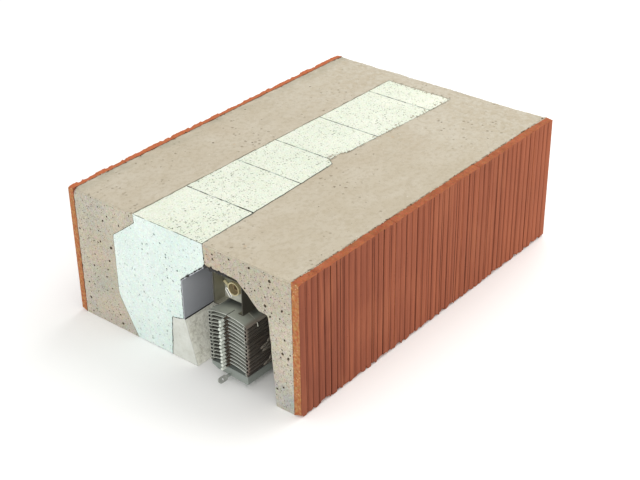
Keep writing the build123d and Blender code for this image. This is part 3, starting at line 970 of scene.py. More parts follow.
def mesh_of(maker):
    """The plain mesh of an object with curves or modifiers."""
    ready = maker.evaluated_get(bpy.context.evaluated_depsgraph_get())
    return bpy.data.meshes.new_from_object(ready)


def seat(piece, slot, *nodes):
    """Sets a piece on the lintel in the place of its CAD nodes."""
    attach(piece, "root")
    if nodes:
        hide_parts(*nodes)


def eased(value):
    value = min(1.0, max(0.0, value))
    return value * value * (3 - 2 * value)


def along(points, y):
    """Straight-line reading of (y, value) points."""
    for (ya, a), (yb, b) in zip(points, points[1:]):
        if y <= yb:
            return a + (b - a) * max(0.0, (y - ya) / (yb - ya))
    return points[-1][1]


# How far the trowelled edges beside the foam wander in x, by the distance from the cut end
beam_edge_wander = [(0, -3), (150, -1), (330, 1), (480, 3), (661, 4)]
lip_edge_wander = [
    (0, -3), (120, -6), (240, -10), (326, -14), (334, -27),
    (362, -28), (374, -20), (455, -16), (560, -9), (661, -5),
]


def edge_wander(point):
    """Shift in x that the foam and the concrete beside it share."""
    distance = (point.y - cut_y) / MM
    ripple = noise.noise(Vector((0, point.y * 60, 3))) * 1.1
    beam_edge = inner_x + beam_head_width
    beside_beam = max(0.0, 1 - abs(point.x - beam_edge) / edge_reach)
    beside_lip = max(0.0, 1 - abs(point.x - lip_x) / edge_reach)
    depth = max(0.0, 1 - (top_z - point.z) / edge_reach)
    shift = beside_beam * (along(beam_edge_wander, distance) + ripple)
    shift += beside_lip * (along(lip_edge_wander, distance) + ripple)
    return shift * depth * MM


def arris_shift(point):
    """How the trowel rounded the top edge of the cut end, most beside the clay."""
    beside_beam = (point.x - inner_x) / beam_head_width
    beside_lip = (outer_x - point.x) / (outer_x - lip_x)
    share = eased(min(1.0, max(0.0, beside_beam if point.x < lip_x - edge_reach else beside_lip)))
    radius = arris_at_clay + (arris_at_foam - arris_at_clay) * share
    radius *= 1 + 0.3 * noise.noise(point * 45)
    inward = radius - (point.y - cut_y)
    downward = radius - (top_z - point.z)
    reach = math.hypot(inward, downward)
    if min(inward, downward) <= 0 or reach <= radius:
        return Vector((0, 0, 0))
    pull = 1 - radius / reach
    return Vector((0, inward * pull, -downward * pull))


def concrete_relief(point, normal, worn):
    """Swell and grain, with trowel drags, a sunk back ledge and a rougher far end on top; heights in mm."""
    swell = noise.noise(point * 9) * 0.5 + noise.noise(point * 38) * 0.25
    grain = noise.noise(point * 260) * 0.14
    height = swell + grain
    if normal.z > SQUARE_ON:
        drag = 0.3 * noise.noise(Vector((point.x * 90, point.y * 14, 5)))
        ledge = back_y - back_ledge + ledge_wander * noise.noise(Vector((point.x * 22, 8, 1)))
        sunk = 2.4 * eased((point.y - ledge) / ledge_slope) * (0.8 + 0.4 * noise.noise(point * 25))
        rough = 0.5 * eased(point.y / back_y) * noise.noise(point * 110)
        height += drag - sunk + rough
    if abs(normal.x) > SQUARE_ON or normal.z < -SQUARE_ON:
        height = -abs(height)
    if worn:
        height -= 0.3 + 1.1 * max(0.0, noise.noise(point * 140 + Vector((9, 4, 2))))
    return normal * (height * MM) + Vector((edge_wander(point), 0, 0)) + arris_shift(point)


def on_rim(point):
    x, z = point
    sides = (abs(x - inner_x), abs(x - outer_x), abs(z - foot_z), abs(z - top_z))
    return min(sides) < SAME_PLACE


def inner_run(ring):
    """The stretch of a section ring that faces the foam or the pocket, ends included."""
    count = len(ring)
    start = next(n for n in range(count) if on_rim(ring[n]) and not on_rim(ring[(n + 1) % count]))
    run = [ring[start]]
    while len(run) == 1 or not on_rim(run[-1]):
        run.append(ring[(start + len(run)) % count])
    return run


def scattered_pores(ring, count, seed):
    """Air pores of mixed size inside a ring, apart from each other and from its edge."""
    rng = random.Random(seed)
    free = inside_points(ring, pore_spacing)
    chosen = []
    for u, v in rng.sample(free, min(len(free), count * 3)):
        radius = (0.55 + 1.9 * rng.random() ** 5) * MM
        stretch = rng.uniform(0.85, 1.25)
        turn = rng.uniform(0, math.pi)
        edge = min(math.hypot(u - a, v - b) for a, b in ring)
        apart = all(math.hypot(u - pore[0], v - pore[1]) > pore_gap + radius + pore[2] for pore in chosen)
        if edge > 1.8 * radius + pore_margin and apart and len(chosen) < count:
            chosen.append((u, v, radius, stretch, turn))
    return chosen


def concrete_casting(finishes):
    """Beam, apron and end wall as one casting, with pores in its cut end."""
    trowelled, sawn, cast, pore = range(len(finishes))
    beam, apron = sorted(end_rings("concrete_body", cut_y))
    centre = Vector(((inner_x + outer_x) / 2, (foot_z + top_z) / 2))
    rim_points = {point for point in beam + apron if on_rim(point)}
    wall = sorted(rim_points, key=lambda point: math.atan2(point[1] - centre.y, point[0] - centre.x))
    pocket = inner_run(beam) + inner_run(apron)

    def step(x, z):
        return rim_step if on_rim((x, z)) else hidden_step

    shell = Shell()
    arris = [cut_y + row * MM for row in arris_rows]
    lengths = arris + stations(arris[-1], core_y, length_step)[1:]
    for ring, seed in ((beam, 11), (apron, 12)):
        points = spaced(ring, step)
        shell.sweep(points, lengths)
        pores = scattered_pores(points, pores_per_side, seed)
        shell.fill(points, end_face(cut_y, 1), cut_face_step, trowelled, pores, pore)
    points = spaced(wall, step)
    shell.sweep(points, stations(core_y, back_y, length_step))
    shell.fill(points, end_face(back_y, -1), 2 * rim_step)
    shell.fill(spaced(pocket, step), end_face(core_y, 1), hidden_step)
    piece = built("concrete_casting", shell, finishes, concrete_relief)
    for face in piece.data.polygons:
        if face.material_index == trowelled and face.normal.z <= FACING:
            at_cut = face.normal.y < -FACING and face.center.y < cut_y + arris_at_clay
            face.material_index = sawn if at_cut else cast
    return piece


def bead_height(point):
    """Fused beads: flat tops with seams between them and a few beads broken out."""
    distances, middles = noise.voronoi(point / bead_size)
    seam = min(1.0, (distances[1] - distances[0]) / 0.35)
    lost = max(0.0, noise.noise(middles[0] * 3.7) - 0.38) * 4
    return -bead_groove * (1 - seam) - lost * lost_bead_depth * max(0.0, 1 - distances[0] * 1.7)


def foam_relief(point, normal, worn):
    """Beads on a soft swell, worn at the edges and never below the underside."""
    height = bead_height(point) + noise.noise(point * 30) * foam_swell
    if normal.z < -TURNED:
        height = min(0.0, height)
    if worn:
        height -= foam_joint_wear + foam_chip * max(0.0, noise.noise(point * 190))
    return normal * height + Vector((edge_wander(point), 0, 0))


def foam_block(node, finishes):
    """One foam block of the core, beaded where it shows."""
    low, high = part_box(node)
    near = low.y < cut_y + SAME_PLACE

    def step(x, z):
        if near:
            return cut_block_step
        if z > top_z - SAME_PLACE:
            return foam_step
        return 2 * foam_step if x > blind_x - pocket_reach else foam_hidden_step

    ring = spaced(end_rings(node, low.y)[0], step)
    shell = Shell()
    shell.sweep(ring, stations(low.y, high.y, cut_block_step if near else foam_step))
    shell.fill(ring, end_face(low.y, 1), foam_step if near else foam_hidden_step)
    shell.fill(ring, end_face(high.y, -1), foam_hidden_step)
    piece = built(node.replace("insulation", "foam"), shell, finishes, foam_relief)
    for face in piece.data.polygons:
        face.material_index = 0 if face.normal.z > FACING else 1
    return piece


def strip_relief(point, normal, worn):
    """Torn beads, never below the underside; heights in mm."""
    height = noise.noise(point * 120) * 0.35 + noise.noise(point * 330) * 0.25 + noise.noise(point * 40) * 0.4
    if normal.z < -TURNED:
        height = -abs(height)
    if worn:
        height -= 0.5 + 1.2 * max(0.0, noise.noise(point * 160))
    return normal * (height * MM)


def lower_strip(finishes):
    """Rough-cut foam strip under the core."""
    ring = spaced(end_rings("lower_insulation_strip", cut_y)[0], lambda x, z: strip_ring_step)
    shell = Shell()
    shell.sweep(ring, stations(cut_y, core_y, length_step))
    shell.fill(ring, end_face(cut_y, 1), strip_cut_step)
    shell.fill(ring, end_face(core_y, -1), hidden_step)
    return built("lower_foam_strip", shell, finishes, strip_relief)


def bitten(bites, y):
    """How deep the chips at y go."""
    depth = 0.0
    for middle, half, bite in bites:
        offset = abs(y - middle) / half
        if offset < 1:
            depth = max(depth, bite * math.sqrt(1 - offset * offset))
    return depth


def bite_row(rng, start, end, spacing, depth):
    """Chips of mixed size along an edge, as (middle, half length, depth)."""
    bites = []
    y = start
    while y < end:
        half = rng.uniform(0.25, 0.9) * spacing
        bites.append((y, half, depth * rng.uniform(0.15, 1.0) ** 1.4))
        y += half * rng.uniform(0.8, 1.7)
    return bites


def clay_tile(node, outward, seed, finishes):
    """A ribbed facing tile with chipped edges; outward is +1 or -1 along x."""
    low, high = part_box(node)
    face_x, back_x = (high.x, low.x) if outward > 0 else (low.x, high.x)
    thickness = high.x - low.x
    rib_pitch = (high.y - low.y) / rib_count
    rng = random.Random(seed)
    drift = Vector((seed * 3.1, seed * 1.7, seed * 2.3))
    tilts = [rng.uniform(-1, 1) * rib_tilt for rib in range(rib_count)]
    sinks = [rng.uniform(0, 1) ** 2 * rib_sink for rib in range(rib_count)]
    widths = [rng.uniform(0.6, 1.3) for groove in range(rib_count + 1)]
    depths = [rng.uniform(0.5, 1.0) for groove in range(rib_count + 1)]
    scores = [(rng.randrange(3, 10), rng.choice((0.0, 0.35, 0.6, 0.9))) for rib in range(rib_count)]
    under = bite_row(rng, low.y, high.y, foot_chip_spacing, foot_chip_depth)
    top_chip_depth = outer_top_chip_depth if outward > 0 else inner_top_chip_depth
    over = bite_row(rng, low.y, high.y, top_chip_spacing, top_chip_depth)
    over += [(low.y, 4 * MM, 2.6 * MM), (high.y, 3 * MM, 2 * MM)]
    parts = (0.0, 0.07, 0.13, 0.2, 0.3, 0.42, 0.55, 0.68, 0.78, 0.85, 0.91, 0.96)
    front = [(rib, part) for rib in range(rib_count) for part in parts] + [(rib_count - 1, 1.0)]

    def weight(x):
        return min(1.0, max(0.0, abs(x - back_x) / thickness))

    def top_at(x, y):
        rough = top_roughness * abs(noise.noise(Vector((x, y, 0)) * 210 + drift))
        return top_z - bitten(over, y) * weight(x) - rough

    def foot_at(x, y):
        return foot_z + bitten(under, y) * weight(x) ** 0.6

    def groove_share(rib, part):
        edge = rib if part < 0.5 else rib + 1
        place, strength = scores[rib]
        if part == parts[place]:
            return strength
        if edge in (0, rib_count):
            return 0.0
        distance = min(part, 1 - part) * rib_pitch
        floor = groove_floor * widths[edge] / 2
        return depths[edge] * (1 - eased((distance - floor) / (groove_mouth * widths[edge] / 2 - floor)))

    def front_point(rib, part, z):
        y = low.y + (rib + part) * rib_pitch
        inside = 0 < rib + part < rib_count
        share = groove_share(rib, part)
        deep = score_depth if part == parts[scores[rib][0]] else groove_depth
        deep *= 0.3 + 0.7 * eased((top_z - z) / rib_shoulder)
        depth = deep * share + rib_crown * (2 * part - 1) ** 2 * (1 - share)
        depth += sinks[rib] + tilts[rib] * (part - 0.5) + 0.5 * rib_tilt
        drag = noise.noise(Vector((seed, y * 900, z * 3))) * rib_drag
        depth += abs(drag) + abs(noise.noise(Vector((y * 70, z * 26, seed)))) * rib_dent
        if inside:
            y += noise.noise(Vector((rib + round(part), z * 9, seed))) * rib_wander
        return (face_x - outward * depth, y)

    def joint_run(front_x, y, inward, z, roll):
        """Points across the tile's end at y, from near its front to near its back."""
        points = []
        for share in joint_shares:
            x = front_x + (back_x - front_x) * share
            rough = joint_roughness * abs(noise.noise(Vector((x * 300, z * 300, roll))))
            points.append((x, y + inward * rough))
        return points

    def plan(z):
        """The tile's outline at a height, as (x, y) points."""
        ring = [front_point(rib, part, z) for rib, part in front]
        ring += joint_run(ring[-1][0], high.y, -1, z, seed)
        ring += [(back_x, high.y + (low.y - high.y) * number / 24) for number in range(25)]
        ring += reversed(joint_run(ring[0][0], low.y, 1, z, seed + 5))
        return ring

    edge_heights = (0, 1.5, 3.5, 6, 9.5)
    height = (top_z - foot_z) / MM
    middle_heights = [14 + (height - 28) * number / 36 for number in range(37)]
    levels = [*edge_heights, *middle_heights, *[height - level for level in reversed(edge_heights)]]
    shell = Shell()
    rows = []
    for level in levels:
        share = level / height
        row = []
        for x, y in plan(foot_z + level * MM):
            bottom = foot_at(x, y)
            row.append((x, y, bottom + share * (top_at(x, y) - bottom)))
        rows.append(row)
    shell.net(rows, closed=True)
    width = len(rows[0])
    # Shades for the clay skin: where each point lies across its rib and how far into a groove, for the
    # painted light and shade of ribs and grooves.
    across = {}
    grooves = {}
    for number in range(len(levels) * width):
        column = number % width
        if column < len(front):
            rib, part = front[column]
            across[number] = part
            at_joint = column in (0, len(front) - 1)
            grooves[number] = 1.0 if at_joint else groove_share(rib, part)
    shell.shades = {"across": across, "groove": grooves}
    shell.fill([point[:2] for point in rows[-1]], lambda x, y, depth: (x, y, top_at(x, y)), clay_face_step)
    shell.fill([point[:2] for point in rows[0]], lambda x, y, depth: (x, y, foot_at(x, y)), clay_face_step)
    piece = built(node.replace("facing_tile", "clay_tile"), shell, finishes)
    skin, cut, smeared = range(len(finishes))
    for face in piece.data.polygons:
        at_end = min(abs(face.center.y - low.y), abs(face.center.y - high.y)) < 0.4 * MM
        broken = abs(face.normal.z) > SLANTED or at_end
        smear = clay_smear * (0.3 + noise.noise(Vector((face.center.y * 16, 4, 0))))
        smear += 0.25 * clay_smear * noise.noise(Vector((face.center.y * 300, seed, 7)))
        smear *= 1.0 if outward > 0 else 0.4
        if face.normal.z > SLANTED and abs(face.center.x - back_x) < smear:
            face.material_index = smeared
        else:
            face.material_index = cut if broken else skin
    return piece


def crumbs(name, spots, seed, finish):
    """Loose lumps at (place, radius) spots, each a dented ball."""
    rng = random.Random(seed)
    noise.seed_set(seed)
    form = bmesh.new()
    for place, radius in spots:
        sizes = [radius * rng.uniform(0.7, 1.4) for axis in range(2)] + [radius * rng.uniform(0.5, 0.8)]
        pose = Matrix.Translation(place) @ Matrix.Rotation(rng.uniform(0, math.pi), 4, "Z")
        pose = pose @ Matrix.Diagonal((*sizes, 1))
        ball = bmesh.ops.create_icosphere(form, subdivisions=1, radius=1, matrix=pose)
        for point in ball["verts"]:
            point.co += noise.noise_vector(point.co * 500) * radius * 0.3
    mesh = mesh_from(form, name)
    mesh.materials.append(finish)
    return placed(name, mesh)


def trowel_crumbs(finish):
    """Concrete dropped on the foam: along the lip past its notch, and over the last block's end."""
    rng = random.Random(41)
    notch_start = 322
    spots = []
    for number in range(lip_crumb_count):
        y = cut_y + rng.uniform(notch_start, 655) * MM
        at_notch = number % 4 == 0
        if at_notch:
            y = cut_y + rng.uniform(notch_start, 380) * MM
        edge = lip_x + edge_wander(Vector((lip_x, y, top_z)))
        x = edge + (3 - 11 * rng.random() ** 2) * MM
        spots.append((Vector((x, y, top_z - crumb_sink)), (0.6 + 1.6 * rng.random() ** 2) * MM))
    for number in range(end_crumb_count):
        x = inner_x + beam_head_width + rng.random() * (lip_x - inner_x - beam_head_width)
        y = core_y + (4 - 12 * rng.random() ** 2) * MM
        spots.append((Vector((x, y, top_z - crumb_sink)), (0.6 + 1.8 * rng.random() ** 2) * MM))
    return crumbs("trowel_crumbs", spots, 42, finish)


def seam_crumbs(finish):
    """Brown clay grit along the seams between the facing tiles and the concrete."""
    rng = random.Random(43)
    spots = []
    for seam_x in (inner_x, outer_x):
        for number in range(grit_per_seam):
            y = cut_y + rng.random() * (back_y - cut_y)
            x = seam_x + rng.gauss(0, grit_spread)
            z = top_z + arris_shift(Vector((x, y, top_z))).z - grit_sink
            spots.append((Vector((x, y, z)), (0.5 + 1.0 * rng.random() ** 2) * MM))
    return crumbs("seam_crumbs", spots, 44, finish)


def stack_tree():
    """Geometry nodes that pile copies of one piece at a pitch, each a little askew."""
    tree = bpy.data.node_groups.new("blind_stack", "GeometryNodeTree")
    sockets = {}
    for name, kind in (
        ("Geometry", "NodeSocketGeometry"),
        ("Piece", "NodeSocketObject"),
        ("Count", "NodeSocketInt"),
        ("Foot", "NodeSocketVector"),
        ("Pitch", "NodeSocketVector"),
        ("Turn", "NodeSocketVector"),
        ("Slip", "NodeSocketVector"),
        ("Seed", "NodeSocketInt"),
        ("Finish", "NodeSocketMaterial"),
        ("Tip Finish", "NodeSocketMaterial"),
    ):
        sockets[name] = tree.interface.new_socket(name, in_out="INPUT", socket_type=kind).identifier
    tree.interface.new_socket("Geometry", in_out="OUTPUT", socket_type="NodeSocketGeometry")
    given = tree.nodes.new("NodeGroupInput").outputs

    def add(kind, inputs, **settings):
        return add_node(tree, kind, inputs, **settings).outputs

    def spread(amount, seed_shift):
        """Random vectors between minus and plus an amount."""
        minus = add("ShaderNodeVectorMath", {0: amount, "Scale": -1}, operation="SCALE")[0]
        seed = add("ShaderNodeMath", {0: given["Seed"], 1: seed_shift})[0]
        ends = {0: minus, 1: amount, "Seed": seed}
        return add("FunctionNodeRandomValue", ends, data_type="FLOAT_VECTOR")[0]

    run = {"Count": given["Count"], "Start Location": given["Foot"], "Offset": given["Pitch"]}
    line = add("GeometryNodeMeshLine", run)[0]
    source = add("GeometryNodeObjectInfo", {"Object": given["Piece"]})["Geometry"]
    copying = {"Points": line, "Instance": source, "Rotation": spread(given["Turn"], 0)}
    copies = add("GeometryNodeInstanceOnPoints", copying)[0]
    slipping = {"Instances": copies, "Translation": spread(given["Slip"], 40)}
    slipped = add("GeometryNodeTranslateInstances", slipping)[0]
    real = add("GeometryNodeRealizeInstances", {0: slipped})[0]
    dressed = add("GeometryNodeSetMaterial", {"Geometry": real, "Material": given["Finish"]})[0]
    tip = add("GeometryNodeInputNamedAttribute", {"Name": "tip"}, data_type="BOOLEAN")["Attribute"]
    tipping = {"Geometry": dressed, "Selection": tip, "Material": given["Tip Finish"]}
    tipped = add("GeometryNodeSetMaterial", tipping)[0]
    add("NodeGroupOutput", {0: tipped})
    return tree, sockets


def stacked(name, pattern, foot, turn, slip, seed, finish, tip_finish):
    """A pile of one pattern piece at the slat pitch, as a plain mesh object."""
    tree, sockets = stack
    maker = placed(name + "_maker", bpy.data.meshes.new(name + "_maker"))
    modifier = maker.modifiers.new("stack", "NODES")
    modifier.node_group = tree
    values = {
        "Piece": pattern,
        "Count": slat_count,
        "Foot": foot,
        "Pitch": (0, 0, slat_pitch),
        "Turn": turn,
        "Slip": slip,
        "Seed": seed,
        "Finish": finish,
        "Tip Finish": tip_finish,
    }
    for key, value in values.items():
        modifier[sockets[key]] = value
    mesh = mesh_of(maker)
    bpy.data.objects.remove(maker)
    bpy.data.objects.remove(pattern)
    mesh.name = name
    smooth(mesh)
    mesh.set_sharp_from_angle(angle=SHARP)
    return placed(name, mesh)


def slat_pattern():
    """One slat about its own middle: an arched sheet with rolled edges, slits and tape slots."""
    half = (slat_high.x - slat_low.x) / 2 - slat_bead_radius
    rise = slat_high.z - slat_low.z - slat_bead_radius
    curl = slat_bead_radius - slat_sheet / 2
    sagitta = rise - slat_sheet / 2 - curl
    bow = (half * half + sagitta * sagitta) / (2 * sagitta)
    slot_half = tape_slot_width / 2

    def on_bow(x):
        return (x, curl + sagitta - bow + math.sqrt(bow * bow - x * x))

    section = []
    for number in range(curl_points):
        angle = math.radians(curl_start_degrees - curl_sweep_degrees * number / (curl_points - 1))
        section.append((-half + curl * math.cos(angle), curl * math.sin(angle)))
    section += [on_bow(-half * share) for share in (0.85, 0.7, 0.55, 0.4)]
    section += [on_bow(x) for x in (-slot_half, -slot_half / 2, -slit_width / 2)]
    section += [(-x, z) for x, z in reversed(section)]
    inset = sum(corner.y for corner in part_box("ladder_drum_1")) / 2 - slat_low.y
    near_rows = [0, slit_length / 3, slit_length, inset - tape_slot_length / 2, inset + tape_slot_length / 2]
    long_rows = [inset + (slat_half_length - inset) * number / 4 for number in (1, 2, 3)]
    half_rows = [distance - slat_half_length for distance in near_rows + long_rows]
    lengths = half_rows + [0] + [-y for y in reversed(half_rows)]
    form = bmesh.new()
    grid = [[form.verts.new((x, y, z)) for x, z in section] for y in lengths]
    for row, (near, far) in enumerate(zip(grid, grid[1:])):
        from_end = slat_half_length - abs(lengths[row] + lengths[row + 1]) / 2
        for column in range(len(section) - 1):
            x = (section[column][0] + section[column + 1][0]) / 2
            in_slit = from_end < slit_length and abs(x) < slit_width / 2
            in_slot = abs(from_end - inset) < tape_slot_length / 2 and abs(x) < slot_half
            on_arch = curl_points - 1 <= column < len(section) - curl_points
            if not (on_arch and (in_slit or in_slot)):
                form.faces.new((near[column], near[column + 1], far[column + 1], far[column]))
    bmesh.ops.recalc_face_normals(form, faces=form.faces)
    pattern = placed("slat_pattern", mesh_from(form, "slat_pattern"))
    wall = pattern.modifiers.new("sheet", "SOLIDIFY")
    wall.thickness = slat_sheet
    wall.offset = 0
    return pattern


def slat_pack(finish):
    """The stacked slats, each a little askew."""
    foot = Vector((blind_x, slat_middle_y, first_bead_z))
    turn = (0, math.radians(0.22), math.radians(0.09))
    slip = (0.35 * MM, 0.6 * MM, 0)
    return stacked("slat_pack", slat_pattern(), foot, turn, slip, 5, finish, finish)


def pin_pattern(name, length, grip, outward):
    """A turned guide pin along y with a chamfered, dimpled head; y = 0 is the slat end."""
    form = bmesh.new()
    tip = form.faces.layers.bool.new("tip")
    reach = length - grip
    neck = reach - pin_head_length
    stops = [
        (-grip, 0.0), (-grip, pin_head_radius), (0, pin_head_radius), (0, pin_radius),
        (neck, pin_radius), (neck + 0.6 * MM, pin_head_radius),
        (reach - 1.2 * MM, pin_head_radius), (reach, pin_head_radius * 0.6), (reach - 0.8 * MM, 0.0),
    ]
    head_start = stops.index((neck, pin_radius))
    angles = [2 * math.pi * side / pin_sides for side in range(pin_sides)]
    rings = []
    for y, size in stops:
        ring = [(size * math.cos(angle), outward * y, size * math.sin(angle)) for angle in angles]
        rings.append([form.verts.new(point) for point in (ring if size else ring[:1])])
    for number, (first, second) in enumerate(zip(rings, rings[1:])):
        for side in range(pin_sides):
            after = (side + 1) % pin_sides
            corners = [first[side % len(first)], first[after % len(first)]]
            corners += [second[after % len(second)], second[side % len(second)]]
            face = form.faces.new(list(dict.fromkeys(corners)))
            face[tip] = number >= head_start
    bmesh.ops.recalc_face_normals(form, faces=form.faces)
    return placed(name, mesh_from(form, name))


def pin_column(node, slat_end, outward, seed, finish, tip_finish):
    """The guide pins at one end of the slats; outward is +1 or -1 along y."""
    low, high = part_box(node)
    grip = abs(slat_end - (high.y if outward < 0 else low.y))
    pattern = pin_pattern(node + "_pattern", high.y - low.y, grip, outward)
    foot = Vector((blind_x, slat_end, (low.z + high.z - (slat_count - 1) * slat_pitch) / 2))
    turn = (math.radians(1.2), 0, math.radians(1.6))
    slip = (0.4 * MM, 0.8 * MM, 0)
    name = node.replace("guide_pins", "guide_pin_column")
    return stacked(name, pattern, foot, turn, slip, seed, finish, tip_finish)


def tube_along(name, points, radius, finish):
    """A round cord on a smooth line through a row of points; radius is one size or one for each."""
    radii = radius if isinstance(radius, list) else [radius] * len(points)
    curve = bpy.data.curves.new(name, "CURVE")
    curve.dimensions = "3D"
    curve.bevel_depth = 1.0
    curve.bevel_resolution = 2
    curve.resolution_u = 4
    curve.use_fill_caps = True
    line = curve.splines.new("NURBS")
    line.points.add(len(points) - 1)
    for knot, point, size in zip(line.points, points, radii):
        knot.co = (*point, 1)
        knot.radius = size
    line.order_u = 3
    line.use_endpoint_u = True
    maker = placed(name + "_maker", curve)
    mesh = mesh_of(maker)
    bpy.data.objects.remove(maker)
    mesh.name = name
    form = bmesh.new()
    form.from_mesh(mesh)
    bmesh.ops.remove_doubles(form, verts=form.verts, dist=WELD)
    bmesh.ops.recalc_face_normals(form, faces=form.faces)
    form.to_mesh(mesh)
    form.free()
    smooth(mesh)
    mesh.materials.clear()
    mesh.materials.append(finish)
    return placed(name, mesh)


def ladder_cord(number, side_name, side, seed, finish):
    """One ladder strand, slack beside the closed pack, then up and in to its drum."""
    low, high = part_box(f"ladder_cord_{number}_{side_name}")
    station = (low.y + high.y) / 2
    rng = random.Random(seed)
    edge = (high.x if side > 0 else low.x) - side * cord_radius
    points = [Vector((edge - side * 3 * MM, station, low.z + cord_radius))]
    for rung in range(slat_count):
        z = first_bead_z + rung * slat_pitch
        swing = (1 if rung % 2 else -1) * rng.uniform(2.5, 8) * MM
        bulge = side * rng.uniform(0.2, 2.2) * MM
        if number == 1 and side > 0 and rung in slack_rungs:
            swing = -slack_rungs[rung] * MM
            bulge = side * slack_bulge
        points.append(Vector((edge + bulge, station + swing, z + slat_pitch * 0.3)))
        points.append(Vector((edge, station + swing * 0.2, z + slat_pitch * 0.75)))
    drum_x = low.x + cord_radius if side > 0 else high.x - cord_radius
    points.append(Vector((edge - side * 6 * MM, station, headrail_low.z - 6 * MM)))
    points.append(Vector((drum_x, station, headrail_low.z - 1 * MM)))
    points.append(Vector((drum_x, station, high.z)))
    return tube_along(f"ladder_strand_{number}_{side_name}", points, cord_radius, finish)


def ladder_clip(finish):
    """Wire clip of the near ladder, hooked over the outer edge of the top slat."""
    low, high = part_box(f"slat_{slat_count:02d}")
    half = (high.x - low.x) / 2
    drop = high.z - low.z - slat_bead_radius
    points = []
    for share in (0.4, 0.6, 0.8, 0.95):
        y = low.y + clip_inset + (1 - share) * 7 * MM
        points.append(Vector((blind_x + share * half, y, high.z + 0.6 * clip_radius - drop * share * share)))
    for fall in (2, 5, 7):
        points.append(Vector((high.x + clip_radius, low.y + clip_inset, high.z - drop - fall * MM)))
    return tube_along("ladder_clip", points, clip_radius, finish)


def glue_and_shadow_line(name, corners, sizes, seed, finish):
    """Ragged black bead at the cut end along straight runs, adhesive along some runs and painted shadow of a
    gap along others, with a least and largest size for each.
    """
    rng = random.Random(seed)
    points = []
    radii = []
    for (ax, az), (bx, bz), (least, largest) in zip(corners, corners[1:], sizes):
        count = max(2, round(math.hypot(bx - ax, bz - az) / glue_and_shadow_step))
        for number in range(count):
            share = number / count
            x = ax + (bx - ax) * share + rng.uniform(-0.7, 0.5) * MM
            z = az + (bz - az) * share + rng.uniform(-0.7, 0.5) * MM
            points.append(Vector((x, cut_y + glue_and_shadow_depth, z)))
            radii.append((least + (largest - least) * rng.random() ** 1.6) * MM)
    return tube_along(name, points, radii, finish)


def lining_glue(finish):
    """Black bead round the lining and along the pocket ceiling: painted shadow of the gaps there."""
    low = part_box("pocket_lining")[0]
    fold_z = max(z for x, z in end_rings("pocket_lining", cut_y)[0] if x < low.x + SAME_PLACE)
    corners = [(low.x, low.z), (low.x, fold_z), (lip_x, ceiling_z), (blind_x + 8 * MM, ceiling_z)]
    return glue_and_shadow_line("lining_glue", corners, [(0.3, 0.9), (0.2, 2.2), (0.8, 5.6)], 21, finish)


def lining_foot(finish):
    """Dark bead where the lining stands on the lower strip: painted shadow along its foot."""
    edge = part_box("pocket_lining")[1].x
    foot_x = max(x for x, z in end_rings("lower_insulation_strip", cut_y)[0] if z > strip_top - SAME_PLACE)
    rng = random.Random(24)
    points = []
    radii = []
    for y in stations(cut_y + 0.5 * MM, core_y - 2 * MM, lining_foot_step):
        points.append(Vector((min(edge, foot_x), y, strip_top + rng.uniform(-0.3, 0.3) * MM)))
        radii.append(rng.uniform(0.6, 1.3) * MM)
    return tube_along("lining_foot", points, radii, finish)


def lip_glue(finish):
    """Spots of adhesive between the foam core and the concrete lip."""
    shift = edge_wander(Vector((lip_x, cut_y, top_z)))
    corners = [(lip_x + 0.3 * shift, top_z - 24 * MM), (lip_x, ceiling_z + 2 * MM)]
    return glue_and_shadow_line("lip_glue", corners, [(0.2, 1.8)], 23, finish)


def strip_glue(finish):
    """Spots of adhesive between the foam core and the lower strip."""
    ring = end_rings("lower_insulation_strip", cut_y)[0]
    upper = sorted(point for point in ring if point[1] > strip_top / 2)
    foot = (min(ring)[0], foot_z + 2 * MM)
    return glue_and_shadow_line("strip_glue", [foot, upper[0], upper[-1]], [(0.15, 1.0), (0.1, 0.6)], 22, finish)


def bush_arm(finish):
    """Moulded arm that runs from the near bush to the side of its plate."""
    plate_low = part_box("bearing_plate_near")[0]
    reach = blind_x - plate_low.x
    points = []
    for share, rise in ((0.96, 1), (0.85, -1), (0.72, -3), (0.58, -3), (0.46, -1), (0.36, 3), (0.2, 7)):
        points.append(Vector((blind_x - share * reach, plate_low.y - 1.4 * MM, shaft_z + rise * MM)))
    return tube_along("bush_arm", points, arm_radius, finish)


def slot_rim(finish):
    """The pressed lip round the slanted slot of the near bearing plate, in a painted highlight."""
    plate_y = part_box("bearing_plate_near")[0].y
    rings = end_rings("bearing_plate_near", plate_y)
    ring = min(rings, key=lambda points: max(points)[0] - min(points)[0])
    middle = Vector((sum(x for x, z in ring) / len(ring), plate_y, sum(z for x, z in ring) / len(ring)))
    points = []
    for x, z in ring + ring[:3]:
        away = Vector((x, plate_y, z)) - middle
        points.append(Vector((x, plate_y - 0.2 * MM, z)) + away.normalized() * slot_rim_radius)
    return tube_along("slot_rim", points, slot_rim_radius, finish)


def dress_cad(finishes):
    """Finishes for the CAD pieces that show as they are."""
    for node, finish in finishes.items():
        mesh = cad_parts[node].data
        mesh.materials.clear()
        mesh.materials.append(finish)


def floor_finish():
    finish = Finish("studio_floor", 0.9, specular=0.2)
    finish.base(finish.cloud(3, 3), (0.93, 0.93, 0.92, 1), (0.95, 0.95, 0.94, 1))
    return finish.done()


def soft_light(name, place, size, power):
    light = bpy.data.lights.new(name, "AREA")
    light.shape = "DISK"
    light.size = size
    light.energy = power
    light.color = lamp_colour
    lamp = placed(name, light)
    lamp.location = place
    lamp.rotation_euler = (lamp_aim - lamp.location).to_track_quat("-Z", "Y").to_euler()


